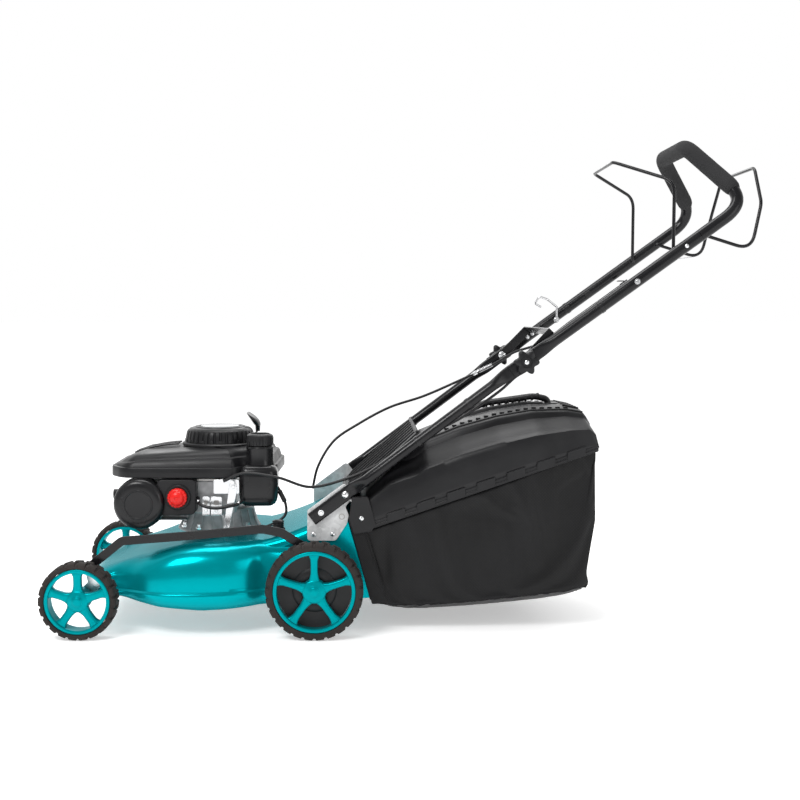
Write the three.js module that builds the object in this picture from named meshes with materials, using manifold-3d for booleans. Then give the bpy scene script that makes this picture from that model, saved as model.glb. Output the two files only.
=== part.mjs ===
// A self-propelled petrol lawn mower with a rear grass bag, in millimetres.
// +X points to the rear, where the handle is, +Y to the mower's right side and +Z up.
// The origin is on the ground, under the centre of the machine's bounding box.
import * as THREE from "three";
import { mergeVertices } from "three/addons/utils/BufferGeometryUtils.js";
import Module from "manifold-3d";

const wasm = await Module();
wasm.setup();

// ---------- Driving dimensions ----------
const GAP = 0.3; // between pieces that touch
const RUNNING = 1; // between a piece that turns and what it turns on

// Wheels
const WHEELBASE = 481;
const REAR_AXLE_X = -182;
const FRONT_R = 80;
const REAR_R = 100;
const TRACK_OUTSIDE = 520;
const WHEEL_WIDTH = 46;
const TYRE_DEPTH_FRONT = 12;
const TYRE_DEPTH_REAR = 15;
const STUB_R = 6;
const SPOKES = 5;
const WHEEL_SIDES = 24;

// Height adjustment: cranked axles joined by a link bar
const CRANK_ARM = 34;
const CRANK_ANGLE = 225; // degrees, from pivot to wheel, at rest
const LINK_ARM = 39;
const LINK_ANGLE = 102;
const CRANK_ROD_R = 6;
const CRANK_PLATE_T = 4;
const LINK_T = 4;
const LINK_WIDTH = 18;
const LINK_PIN_R = 4;

// Deck
const SHEET = 3;
const CRANK_X = -400; // the engine's vertical axis
const DECK_HALF_WIDTH = 238;
const DECK_REAR_HALF_WIDTH = 195;
const DECK_FRONT_X = -655;
const DECK_REAR_X = -172;
const TUNNEL_HALF_WIDTH = 170;
const TUNNEL_START = -308;
const TUNNEL_FLOOR_Z = 150;
const TUNNEL_TOP_REAR = [-118, 262];
const TUNNEL_BOTTOM_REAR = [-66, 64];

// Blade
const BLADE_LENGTH = 424;
const BLADE_WIDTH = 52;
const BLADE_T = 4;
const BLADE_Z = 62;

// Engine
const SHAFT_R = 11;
const ENGINE_BASE_R = 97;
const ENGINE_BASE_T = 12;
const CRANKCASE_R = 72;
const CRANKCASE_TOP = 236;
const SHROUD_BOTTOM = 317;
const SHROUD_LIP = 21;
const SHROUD_TOP = 376;
const SHROUD_WALL = 3;
const DOME_R = 78;
const DOME_HEIGHT = 38;
const STARTER_PULLEY_R = 46;
const TANK_NECK_R = 27;
const FILTER_R = 54;
const PRIMER_R = 20;

// Handle
const LOWER_TUBE_R = 11;
const UPPER_TUBE_R = 12.5;
const TUBE_Y = 195; // the tubes' distance from the middle
const LOWER_BOLT = [-170, 250.5];
const FOLD_PIVOT = [248, 565];
const FLAT_T = 9; // a flattened tube end
const FLAT_WIDTH = 28;
const JOINT_REACH = 34; // flat length on each side of the fold pivot
const BRACKET_T = 3;
const GRIP_R = 17;
const HANDLE_BEND = [697, 890];
const HANDLE_TOP = [597, 1012, 95];
const BAIL_R = 3.5;
const STOP_PIVOT = [545, 795];
const DRIVE_PIVOT = [602, 834];
const BOLT_R = 4;
const KNOB_R = 26;

// Bag
const BAG_HALF_WIDTH = 182;
const BAG_WALL = 5;

// ---------- Derived places ----------
const FRONT_AXLE_X = REAR_AXLE_X - WHEELBASE;
const WHEEL_OUT = TRACK_OUTSIDE / 2;
const WHEEL_IN = WHEEL_OUT - WHEEL_WIDTH;
const PLATE_OUT = WHEEL_IN - 5; // outer face of the crank plates
const PLATE_IN = PLATE_OUT - CRANK_PLATE_T;
const polar = (r, degrees) => [
  r * Math.cos(THREE.MathUtils.degToRad(degrees)),
  r * Math.sin(THREE.MathUtils.degToRad(degrees)),
];
const plus = (a, b) => [a[0] + b[0], a[1] + b[1]];
const minus = (a, b) => [a[0] - b[0], a[1] - b[1]];
const FRONT_PIVOT = minus([FRONT_AXLE_X, FRONT_R], polar(CRANK_ARM, CRANK_ANGLE));
const REAR_PIVOT = minus([REAR_AXLE_X, REAR_R], polar(CRANK_ARM, CRANK_ANGLE));
const FRONT_PIN = plus(FRONT_PIVOT, polar(LINK_ARM, LINK_ANGLE));
const REAR_PIN = plus(REAR_PIVOT, polar(LINK_ARM, LINK_ANGLE));
const HANDLE_ANGLE = Math.atan2(
  FOLD_PIVOT[1] - LOWER_BOLT[1],
  FOLD_PIVOT[0] - LOWER_BOLT[0],
);

// ---------- Materials ----------
const finish = (color, roughness, metalness = 0) =>
  new THREE.MeshStandardMaterial({ color, roughness, metalness });
const TEAL = finish(0x00a3ab, 0.3);
const BLACK_PAINT = finish(0x151515, 0.35);
const BLACK_PLASTIC = finish(0x202020, 0.55);
const RUBBER = finish(0x2b2625, 0.8);
const FOAM = finish(0x262626, 0.95);
const FABRIC = finish(0x17181a, 0.9);
const ALUMINIUM = finish(0xb9babb, 0.4, 0.9);
const ZINC = finish(0xd0d0d0, 0.35, 0.9);
const STEEL = finish(0x8d8f92, 0.35, 1);
const RED = finish(0xf0201c, 0.4);

// ---------- Geometry helpers ----------
// Points of a closed outline with rounded corners; each corner is [x, y, radius].
function roundedOutline(corners, steps = 3, inset = 0) {
  const n = corners.length;
  const ways = Math.sign(THREE.ShapeUtils.area(corners.map(([x, y]) => ({ x, y }))));
  const points = [];
  for (let i = 0; i < n; i++) {
    const at = (k) => new THREE.Vector2(...corners[(i + k + n) % n]);
    const b = at(0);
    const back = at(-1).sub(b).normalize();
    const ahead = at(1).sub(b).normalize();
    const half = Math.acos(THREE.MathUtils.clamp(back.dot(ahead), -1, 1)) / 2;
    const inward = back.clone().add(ahead).normalize();
    const convex = Math.sign(ahead.cross(back)) * ways; // -1 at a corner that points in
    const corner = b.clone().addScaledVector(inward, (convex * inset) / Math.sin(half));
    const r = Math.max((corners[i][2] || 0) - convex * inset, 0.5);
    const centre = corner.clone().addScaledVector(inward, r / Math.sin(half));
    const start = corner.clone().addScaledVector(back, r / Math.tan(half));
    const end = corner.clone().addScaledVector(ahead, r / Math.tan(half));
    const from = start.sub(centre);
    const turn = from.angleTo(end.sub(centre)) * Math.sign(from.cross(end));
    for (let k = 0; k <= steps; k++) {
      const p = from.clone().rotateAround(new THREE.Vector2(), (turn * k) / steps);
      points.push([centre.x + p.x, centre.y + p.y]);
    }
  }
  return points;
}

function shapeOf(points, holes = []) {
  const shape = new THREE.Shape(points.map((p) => new THREE.Vector2(p[0], p[1])));
  shape.holes = holes.map(
    (h) => new THREE.Path(h.map((p) => new THREE.Vector2(p[0], p[1]))),
  );
  return shape;
}

const circle = (x, y, r, sides = 16) =>
  Array.from({ length: sides }, (_, i) => {
    const a = (2 * Math.PI * i) / sides;
    return [x + r * Math.cos(a), y + r * Math.sin(a)];
  });

// An outline in X and Z, extruded along Y from y0 to y1.
function sideExtrude(points, y0, y1, holes = []) {
  const g = new THREE.ExtrudeGeometry(shapeOf(points, holes), {
    depth: Math.abs(y1 - y0),
    bevelEnabled: false,
  });
  g.rotateX(Math.PI / 2);
  g.translate(0, Math.max(y0, y1), 0);
  return g;
}

// An outline in X and Y, extruded up from z0 to z1.
function upExtrude(points, z0, z1, holes = []) {
  const g = new THREE.ExtrudeGeometry(shapeOf(points, holes), {
    depth: z1 - z0,
    bevelEnabled: false,
  });
  g.translate(0, 0, z0);
  return g;
}

function box(x0, x1, y0, y1, z0, z1) {
  const g = new THREE.BoxGeometry(x1 - x0, y1 - y0, z1 - z0);
  g.translate((x0 + x1) / 2, (y0 + y1) / 2, (z0 + z1) / 2);
  return g;
}

// The same solid with its faces turned outwards.
function outward(g) {
  const p = g.attributes.position;
  const index = g.index ? Array.from(g.index.array) : Array.from({ length: p.count }, (_, i) => i);
  const at = (i) => new THREE.Vector3().fromBufferAttribute(p, index[i]);
  let volume = 0;
  for (let i = 0; i < index.length; i += 3) volume += at(i).dot(at(i + 1).cross(at(i + 2)));
  if (volume < 0)
    for (let i = 0; i < index.length; i += 3)
      [index[i + 1], index[i + 2]] = [index[i + 2], index[i + 1]];
  g.setIndex(index);
  return g;
}

// A round solid along Y: the profile holds [radius, y] pairs.
function latheY(profile, x, z, sides = 24) {
  const g = new THREE.LatheGeometry(
    profile.map((p) => new THREE.Vector2(p[0], p[1])),
    sides,
  );
  g.translate(x, 0, z);
  return outward(g);
}

// A round solid along Z: the profile holds [radius, z] pairs.
function latheZ(profile, x, y, sides = 24) {
  const g = new THREE.LatheGeometry(
    profile.map((p) => new THREE.Vector2(p[0], p[1])),
    sides,
  );
  g.rotateX(Math.PI / 2);
  g.translate(x, y, 0);
  return outward(g);
}

const rodY = (r, x, z, y0, y1, sides = 16) =>
  latheY([[0, y0], [r, y0], [r, y1], [0, y1]], x, z, sides);
const rodZ = (r, x, y, z0, z1, sides = 16) =>
  latheZ([[0, z0], [r, z0], [r, z1], [0, z1]], x, y, sides);

// A closed solid through rings of equally many points, capped at both ends.
function loft(rings) {
  const n = rings[0].length;
  const positions = rings.flat(2);
  const index = [];
  for (let r = 0; r + 1 < rings.length; r++)
    for (let i = 0; i < n; i++) {
      const a = r * n + i;
      const b = r * n + ((i + 1) % n);
      index.push(a, b, b + n, a, b + n, a + n);
    }
  const cap = (ring, start, flip) => {
    const flat = flattened(ring);
    for (const [a, b, c] of THREE.ShapeUtils.triangulateShape(flat, [])) {
      const t = flip ? [a, c, b] : [a, b, c];
      index.push(...t.map((k) => k + start));
    }
  };
  cap(rings[0], 0, true);
  cap(rings[rings.length - 1], (rings.length - 1) * n, false);
  const g = new THREE.BufferGeometry();
  g.setAttribute("position", new THREE.Float32BufferAttribute(positions, 3));
  g.setIndex(index);
  return outward(g);
}

// A ring's points in the plane that it faces most, keeping its sense of turn.
function flattened(ring) {
  const n = new THREE.Vector3();
  ring.forEach((p, i) => {
    const q = ring[(i + 1) % ring.length];
    n.x += (p[1] - q[1]) * (p[2] + q[2]);
    n.y += (p[2] - q[2]) * (p[0] + q[0]);
    n.z += (p[0] - q[0]) * (p[1] + q[1]);
  });
  const u = new THREE.Vector3(1, 0, 0);
  if (Math.abs(n.x) > Math.abs(n.y) && Math.abs(n.x) > Math.abs(n.z)) u.set(0, 1, 0);
  const v = n.clone().normalize().cross(u);
  return ring.map((p) => {
    const q = new THREE.Vector3(...p);
    return new THREE.Vector2(q.dot(u), q.dot(v));
  });
}

// A line through points, with its corners rounded to the given radii.
function roundedPath(points, radii) {
  const path = new THREE.CurvePath();
  let last = new THREE.Vector3(...points[0]);
  for (let i = 1; i + 1 < points.length; i++) {
    const p = new THREE.Vector3(...points[i]);
    const back = new THREE.Vector3(...points[i - 1]).sub(p).normalize();
    const ahead = new THREE.Vector3(...points[i + 1]).sub(p).normalize();
    const half = back.angleTo(ahead) / 2;
    const r = Array.isArray(radii) ? radii[i - 1] : radii;
    const cut = r / Math.tan(half);
    const start = p.clone().addScaledVector(back, cut);
    const end = p.clone().addScaledVector(ahead, cut);
    path.add(new THREE.LineCurve3(last, start));
    path.add(new THREE.QuadraticBezierCurve3(start, p, end));
    last = end;
  }
  path.add(new THREE.LineCurve3(last, new THREE.Vector3(...points[points.length - 1])));
  return path;
}

// The places along a rounded path where a tube needs a section: the ends of its
// straights and a few steps in each bend.
function pathStations(path, bendSteps = 3) {
  const stations = [path.curves[0].getPoint(0)];
  for (const c of path.curves) {
    const steps = c.isLineCurve3 ? 1 : bendSteps;
    for (let k = 1; k <= steps; k++) stations.push(c.getPoint(k / steps));
  }
  return stations;
}

// A round bar or tube through stations, with mitred sections.
function sweep(stations, r, sides = 10) {
  const pts = stations.filter(
    (p, i) => i === 0 || p.distanceTo(stations[i - 1]) > 0.01,
  );
  const rings = [];
  let side = null;
  pts.forEach((p, i) => {
    const back = i > 0 ? p.clone().sub(pts[i - 1]).normalize() : null;
    const ahead = i + 1 < pts.length ? pts[i + 1].clone().sub(p).normalize() : null;
    const tangent = (back || ahead).clone().add(ahead || back).normalize();
    if (!side) {
      side = new THREE.Vector3(0, 1, 0);
      if (Math.abs(tangent.y) > 0.9) side.set(1, 0, 0);
    }
    side = side.clone().addScaledVector(tangent, -side.dot(tangent)).normalize();
    const other = tangent.clone().cross(side);
    rings.push(
      Array.from({ length: sides }, (_, k) => {
        const a = (2 * Math.PI * k) / sides;
        const q = p
          .clone()
          .addScaledVector(side, r * Math.cos(a))
          .addScaledVector(other, r * Math.sin(a));
        return [q.x, q.y, q.z];
      }),
    );
  });
  return loft(rings);
}

const bentRod = (points, radii, r, sides = 10, bendSteps = 3) =>
  sweep(pathStations(roundedPath(points, radii), bendSteps), r, sides);

// A cable along a smooth curve through hand-placed points.
function cable(points, r, steps, sides = 8) {
  const curve = new THREE.CatmullRomCurve3(points.map((p) => new THREE.Vector3(...p)));
  return sweep(curve.getSpacedPoints(steps), r, sides);
}

// ---------- Joining and cutting ----------
function solid(geometry) {
  const g = geometry.index ? geometry.toNonIndexed() : geometry.clone();
  const bare = new THREE.BufferGeometry().setAttribute("position", g.getAttribute("position"));
  const merged = mergeVertices(bare, 1e-3);
  const made = new wasm.Manifold(
    new wasm.Mesh({
      numProp: 3,
      vertProperties: merged.attributes.position.array,
      triVerts: new Uint32Array(merged.index.array),
    }),
  );
  return made;
}

function geometryOf(manifold) {
  const m = manifold.getMesh();
  const positions = new Float32Array(m.numVert * 3);
  for (let i = 0; i < m.numVert; i++)
    positions.set(m.vertProperties.subarray(i * m.numProp, i * m.numProp + 3), i * 3);
  const g = new THREE.BufferGeometry();
  g.setAttribute("position", new THREE.BufferAttribute(positions, 3));
  g.setIndex(new THREE.BufferAttribute(new Uint32Array(m.triVerts), 1));
  return g;
}

const join = (...gs) =>
  geometryOf(gs.map(solid).reduce((a, b) => a.add(b)));
const cut = (g, ...tools) =>
  geometryOf(tools.map(solid).reduce((a, b) => a.subtract(b), solid(g)));

const mirrored = (g) => outward(g.clone().scale(1, -1, 1));

const mower = new THREE.Group();
function add(name, geometry, material) {
  geometry.deleteAttribute("normal");
  const mesh = new THREE.Mesh(geometry, material);
  mesh.geometry.computeVertexNormals();
  mesh.name = name;
  mower.add(mesh);
  return mesh;
}

// ---------- Wheels ----------
function wheel(name, x, radius, depth, centreSide) {
  const rimR = radius - depth - GAP * 2;
  const out = WHEEL_OUT;
  const width = WHEEL_WIDTH;
  const shoulder = 6;
  const tyre = [
    [rimR + GAP * 2, out - width + 2], [radius - shoulder, out - width], [radius, out - width + shoulder],
    [radius, out - shoulder], [radius - shoulder, out], [rimR + GAP * 2, out - 2],
    [rimR + GAP * 2, out - width + 2],
  ];
  const lip = 7;
  const rim = [
    [rimR - lip, out - width + 5], [rimR, out - width + 5], [rimR, out - 3],
    [rimR - lip, out - 3], [rimR - lip, out - width + 5],
  ];
  const bossR = radius * 0.24;
  const boss = [
    [STUB_R + RUNNING, out - width], [bossR, out - width], [bossR, out - 6],
    [STUB_R + RUNNING, out - 6], [STUB_R + RUNNING, out - width],
  ];
  const webs = Array.from({ length: SPOKES }, (_, i) => {
    const half = radius * centreSide;
    const angle = (360 * i) / SPOKES + 90;
    const turn = (p) => {
      const c = polar(1, angle);
      return [x + p[0] * c[0] - p[1] * c[1], radius + p[0] * c[1] + p[1] * c[0]];
    };
    const reach = rimR - lip + 2;
    const outline = [
      [bossR - 3, -half * 0.8], [reach, -half], [reach, half], [bossR - 3, half * 0.8],
    ].map(turn);
    return sideExtrude(outline, out - width + 22, out - 8);
  });
  const hub = join(
    latheY(rim, x, radius, WHEEL_SIDES), latheY(boss, x, radius, 12), ...webs,
  );
  const ring = latheY(tyre, x, radius, WHEEL_SIDES);
  add(`tyre_${name}_right`, ring, RUBBER);
  add(`tyre_${name}_left`, mirrored(ring), RUBBER);
  add(`hub_${name}_right`, hub, TEAL);
  add(`hub_${name}_left`, mirrored(hub), TEAL);
}
wheel("front", FRONT_AXLE_X, FRONT_R, TYRE_DEPTH_FRONT, 0.14);
wheel("rear", REAR_AXLE_X, REAR_R, TYRE_DEPTH_REAR, 0.13);

// ---------- Height adjustment ----------
// A pivot rod across the deck with a crank plate and a wheel stub at each end.
// The left plate also carries the pin of the link bar.
function crankedAxle(name, pivot, wheelX, wheelZ, pin) {
  const y1 = PLATE_OUT;
  const plate = (points, side) =>
    sideExtrude(points, side * PLATE_IN, side * y1);
  const bar = (a, b, r) => {
    const d = new THREE.Vector2(b[0] - a[0], b[1] - a[1]);
    const angle = THREE.MathUtils.radToDeg(d.angle());
    const arc = (c, start) =>
      Array.from({ length: 6 }, (_, k) => plus(c, polar(r, start + k * 36)));
    return [...arc(a, angle + 90), ...arc(b, angle - 90)];
  };
  const crank = bar(pivot, [wheelX, wheelZ], 13);
  const pinArm = bar(pivot, pin, 10);
  const stub = (side) =>
    rodY(STUB_R, wheelX, wheelZ, side * (y1 - 1), side * (WHEEL_OUT - 7), 16);
  const made = join(
    rodY(CRANK_ROD_R, pivot[0], pivot[1], -y1, y1, 12),
    plate(crank, 1), plate(crank, -1), plate(pinArm, -1), stub(1), stub(-1),
    rodY(LINK_PIN_R, pin[0], pin[1], -y1 - LINK_T - GAP * 1.5, -y1 + 1, 8),
  );
  add(name, made, ZINC);
}
crankedAxle("front_axle", FRONT_PIVOT, FRONT_AXLE_X, FRONT_R, FRONT_PIN);
crankedAxle("rear_axle", REAR_PIVOT, REAR_AXLE_X, REAR_R, REAR_PIN);

const LINK_Y = -PLATE_OUT - GAP;
const LINK_LINE = [[-579, 197], [-415, 210], [-290, 222], [-250, 214]];
function heightLink() {
  const line = [FRONT_PIN, ...LINK_LINE, REAR_PIN];
  const h = LINK_WIDTH / 2;
  const normals = line.map((p, i) => {
    const a = line[Math.max(i - 1, 0)];
    const b = line[Math.min(i + 1, line.length - 1)];
    return new THREE.Vector2(a[1] - b[1], b[0] - a[0]).normalize();
  });
  const edge = (sign) => line.map((p, i) => [p[0] + sign * h * normals[i].x, p[1] + sign * h * normals[i].y]);
  const outline = [...edge(1), ...edge(-1).reverse()];
  const beyond = (end, from) => {
    const d = new THREE.Vector2(...minus(end, from)).setLength(h * 1.2);
    return [end[0] + d.x, end[1] + d.y];
  };
  const tail = beyond(REAR_PIN, LINK_LINE[LINK_LINE.length - 1]);
  const nose = beyond(FRONT_PIN, LINK_LINE[0]);
  outline.splice(line.length, 0, tail);
  outline.push(nose);
  const holes = [FRONT_PIN, REAR_PIN].map((p) => circle(p[0], p[1], LINK_PIN_R + RUNNING, 12));
  return sideExtrude(outline, LINK_Y, LINK_Y - LINK_T, holes);
}
add("height_link", heightLink(), BLACK_PAINT);

// ---------- Deck ----------
const deckPlan = [
  [DECK_REAR_X, -DECK_REAR_HALF_WIDTH, 8], [-286, -DECK_REAR_HALF_WIDTH, 30],
  [-318, -DECK_HALF_WIDTH, 60], [-546, -DECK_HALF_WIDTH, 30], [-584, -196, 20],
  [DECK_FRONT_X, -196, 40], [DECK_FRONT_X - 18, 0, 400], [DECK_FRONT_X, 196, 40],
  [-584, 196, 20], [-546, DECK_HALF_WIDTH, 30], [-318, DECK_HALF_WIDTH, 60],
  [-286, DECK_REAR_HALF_WIDTH, 30], [DECK_REAR_X, DECK_REAR_HALF_WIDTH, 8],
];
// Skirt, rolled step, shoulder and top: [z, inset].
const DECK_LEVELS = [[52, 0], [90, 0], [93, 5], [158, 7], [177, 20], [188, 46]];
const DECK_TOP = 188;
const tunnelSide = [
  [TUNNEL_START, 184], [TUNNEL_START + 8, 191], [-262, 202], [-196, 220], TUNNEL_TOP_REAR,
  TUNNEL_BOTTOM_REAR, [-210, 60],
];
const SKIRT_CUT = [
  [-760, 20], [-760, 96], [-640, 84], [-582, 78], [-415, 58], [-283, 62], [-40, 66], [-40, 20],
];

function deckBody(shrink) {
  const rings = DECK_LEVELS.map(([z, inset], i) => {
    const top = i === DECK_LEVELS.length - 1 ? shrink : 0;
    const low = i === 0 ? shrink * 4 : 0;
    return roundedOutline(deckPlan, 2, inset + shrink).map((p) => [p[0], p[1], z - top - low]);
  });
  const half = TUNNEL_HALF_WIDTH - shrink;
  const side = tunnelSide.map(([x, z]) => [x, z - (x < -100 && z > 100 ? shrink : 0)]);
  if (shrink) side.splice(4, 2, [-60, 274 - shrink], [-40, 57]);
  const tunnel = sideExtrude(side, -half, half);
  return solid(loft(rings)).add(solid(tunnel));
}

function deckShell() {
  const keepOut = sideExtrude(SKIRT_CUT, -300, 300);
  const ramp = sideExtrude(
    [[-230, 96], [-226, 99], [-150, TUNNEL_FLOOR_Z], [-90, TUNNEL_FLOOR_Z - 2], [-89, TUNNEL_FLOOR_Z - 5],
      [-149, TUNNEL_FLOOR_Z - 4], [-226, 94]],
    -TUNNEL_HALF_WIDTH + 1, TUNNEL_HALF_WIDTH - 1,
  );
  const slot = box(-240, -80, -GEARBOX_HALF - 2, GEARBOX_HALF + 2, 60, 190);
  const openings = [
    solid(rodZ(SHAFT_R + 6, CRANK_X, 0, DECK_TOP - 20, DECK_TOP + 30, 20)),
    solid(rodY(CRANK_ROD_R + RUNNING, FRONT_PIVOT[0], FRONT_PIVOT[1], -230, 230, 12)),
    solid(rodY(CRANK_ROD_R + RUNNING, REAR_PIVOT[0], REAR_PIVOT[1], -230, 230, 12)),
    solid(rodZ(WASH_BORE, WASH_PORT[0], WASH_PORT[1], WASH_SEAT - 60, WASH_SEAT + 60, 12)),
  ];
  const made = deckBody(0)
    .subtract(deckBody(SHEET))
    .add(solid(cut(ramp, slot)).subtract(solid(keepOut)))
    .subtract(solid(keepOut));
  return geometryOf(openings.reduce((a, b) => a.subtract(b), made));
}
const GEARBOX_HALF = 34;
const WASH_PORT = [-262, -140];
const WASH_BORE = 8;
const WASH_SEAT = 207;
add("deck_shell", deckShell(), TEAL);
add(
  "wash_port",
  latheZ(
    [[WASH_BORE - 2, WASH_SEAT - 25], [WASH_BORE - 0.4, WASH_SEAT - 25], [WASH_BORE - 0.4, WASH_SEAT],
      [14, WASH_SEAT], [14, WASH_SEAT + 5], [10, WASH_SEAT + 7], [10, WASH_SEAT + 19], [6, WASH_SEAT + 21],
      [WASH_BORE - 2, WASH_SEAT + 19], [WASH_BORE - 2, WASH_SEAT - 25]],
    WASH_PORT[0], WASH_PORT[1], 14,
  ),
  BLACK_PLASTIC,
);

// ---------- Blade, shaft and drive ----------
const shaftTop = SHROUD_BOTTOM + 32;
add(
  "crankshaft",
  latheZ(
    [[0, BLADE_Z + GAP], [24, BLADE_Z + GAP], [24, 78], [SHAFT_R, 84], [SHAFT_R, 146], [24, 146],
      [16, 151], [16, 157], [24, 162], [SHAFT_R, 164], [SHAFT_R, shaftTop], [0, shaftTop]],
    CRANK_X, 0, 20,
  ),
  STEEL,
);
function blade() {
  const half = BLADE_LENGTH / 2;
  const w = BLADE_WIDTH / 2;
  const t = BLADE_T;
  const section = (x, lift) => [
    [x, -w, BLADE_Z - t], [x, w * 0.3, BLADE_Z - t], [x, w, BLADE_Z - t + lift],
    [x, w, BLADE_Z + lift], [x, w * 0.3, BLADE_Z], [x, -w, BLADE_Z],
  ];
  const stations = [
    [-half, 20], [-half + 60, 20], [-half + 110, 0], [half - 110, 0], [half - 60, 0], [half, 0],
  ];
  const rings = stations.map(([x]) => section(x, 0));
  const wing = (side) =>
    loft([0, 1].map((k) => {
      const x = side * (half - 70 + 68 * k);
      return [[x, side * (w - 8), BLADE_Z - t + 1], [x, side * w, BLADE_Z - t + 1],
        [x, side * (w + 3), BLADE_Z + 20 * k + 2], [x, side * (w - 1), BLADE_Z + 20 * k + 2]];
    }));
  const made = join(loft(rings), wing(1), wing(-1));
  return cut(made, rodZ(BOLT_R + 1, 0, 0, BLADE_Z - 20, BLADE_Z + 20, 12)).translate(CRANK_X, 0, 0);
}
add("blade", blade(), STEEL);
add(
  "blade_bolt",
  latheZ(
    [[0, BLADE_Z - BLADE_T - 11], [12, BLADE_Z - BLADE_T - 11], [12, BLADE_Z - BLADE_T - 3],
      [17, BLADE_Z - BLADE_T - 3], [17, BLADE_Z - BLADE_T - GAP], [BOLT_R, BLADE_Z - BLADE_T - GAP],
      [BOLT_R, BLADE_Z], [0, BLADE_Z]],
    CRANK_X, 0, 12,
  ),
  ZINC,
);
add(
  "flywheel",
  latheZ(
    [[SHAFT_R + GAP, SHROUD_BOTTOM + 4], [66, SHROUD_BOTTOM + 4], [72, SHROUD_BOTTOM + 12],
      [72, SHROUD_BOTTOM + 24], [SHAFT_R + GAP, SHROUD_BOTTOM + 28], [SHAFT_R + GAP, SHROUD_BOTTOM + 4]],
    CRANK_X, 0, 20,
  ),
  ALUMINIUM,
);
const GEARBOX_X = -196;
const PULLEY_Z = 154;
const gearCase = upExtrude(
  roundedOutline([[-224, -26, 8], [-128, -26, 8], [-128, 26, 8], [-224, 26, 8]], 1),
  104, 134,
);
add(
  "gearbox",
  cut(
    join(gearCase, rodZ(12, GEARBOX_X, 0, 130, PULLEY_Z - 12, 12)),
    rodY(CRANK_ROD_R + RUNNING, REAR_PIVOT[0], REAR_PIVOT[1], -40, 40, 12),
  ),
  ALUMINIUM,
);
add(
  "gearbox_pulley",
  latheZ(
    [[0, PULLEY_Z - 11], [34, PULLEY_Z - 11], [34, PULLEY_Z - 9], [27, PULLEY_Z - 4], [27, PULLEY_Z + 4],
      [34, PULLEY_Z + 9], [34, PULLEY_Z + 11], [0, PULLEY_Z + 11]],
    GEARBOX_X, 0, 24,
  ),
  BLACK_PLASTIC,
);
function driveBelt() {
  const run = (rDrive, rDriven) => {
    const arc = (x, r, start) =>
      Array.from({ length: 9 }, (_, k) => plus([x, 0], polar(r, start + (180 * k) / 8)));
    return [...arc(CRANK_X, rDrive, 90), ...arc(GEARBOX_X, rDriven, -90)];
  };
  return upExtrude(run(23, 34 + GAP), PULLEY_Z - 3, PULLEY_Z + 3, [run(17, 28)]);
}
add("drive_belt", driveBelt(), RUBBER);

// ---------- Engine ----------
const ENGINE_FOOT = DECK_TOP + GAP;
function engineBase() {
  const fin = (z) => box(-586, -470, -58, 58, z, z + 3);
  const made = join(
    rodZ(ENGINE_BASE_R, CRANK_X, 0, ENGINE_FOOT, ENGINE_FOOT + ENGINE_BASE_T, 20),
    rodZ(CRANKCASE_R, CRANK_X, 0, ENGINE_FOOT, CRANKCASE_TOP, 20),
    box(-452, -352, -66, 60, CRANKCASE_TOP - 10, SHROUD_BOTTOM - 12),
    box(-575, -450, -44, 44, 212, 300),
    ...[214, 228, 242, 256, 270, 284, 297].map(fin),
  );
  const tunnelRoof = box(
    TUNNEL_START - 4, TUNNEL_START + 60, -120, 120, DECK_TOP - 10, ENGINE_FOOT + ENGINE_BASE_T + 5,
  );
  return cut(made, rodZ(SHAFT_R + RUNNING, CRANK_X, 0, 150, 360, 16), tunnelRoof);
}
add("engine_base", engineBase(), ALUMINIUM);

const shroudPlan = [
  [-624, -92, 50], [-590, -138, 40], [-300, -138, 36], [-262, -110, 40],
  [-262, 110, 40], [-300, 132, 36], [-590, 132, 40], [-624, 92, 50],
];
// [z, inset] from the bottom lip to the crown.
const SHROUD_LEVELS = [
  [SHROUD_BOTTOM, 0], [SHROUD_BOTTOM + SHROUD_LIP, 0], [SHROUD_BOTTOM + SHROUD_LIP + 2, 7],
  [SHROUD_TOP - 16, 10], [SHROUD_TOP - 5, 20], [SHROUD_TOP, 40],
];
const CAP_AT = [-304, -88];
const DOME_SEAT = SHROUD_TOP + GAP;
function shroudBody(shrink) {
  return loft(SHROUD_LEVELS.map(([z, inset], i) => {
    const last = i === SHROUD_LEVELS.length - 1;
    const drop = last ? shrink : i === 0 ? shrink * 2 : 0;
    return roundedOutline(shroudPlan, 2, inset + shrink).map((p) => [p[0], p[1], z - drop]);
  }));
}
add(
  "engine_shroud",
  cut(
    shroudBody(0),
    shroudBody(SHROUD_WALL),
    rodZ(DOME_R - 18, CRANK_X, 0, SHROUD_TOP - 20, SHROUD_TOP + 5, 20),
    rodZ(TANK_NECK_R + 1.5, CAP_AT[0], CAP_AT[1], SHROUD_TOP - 50, SHROUD_TOP + 5, 16),
  ),
  BLACK_PLASTIC,
);

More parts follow.
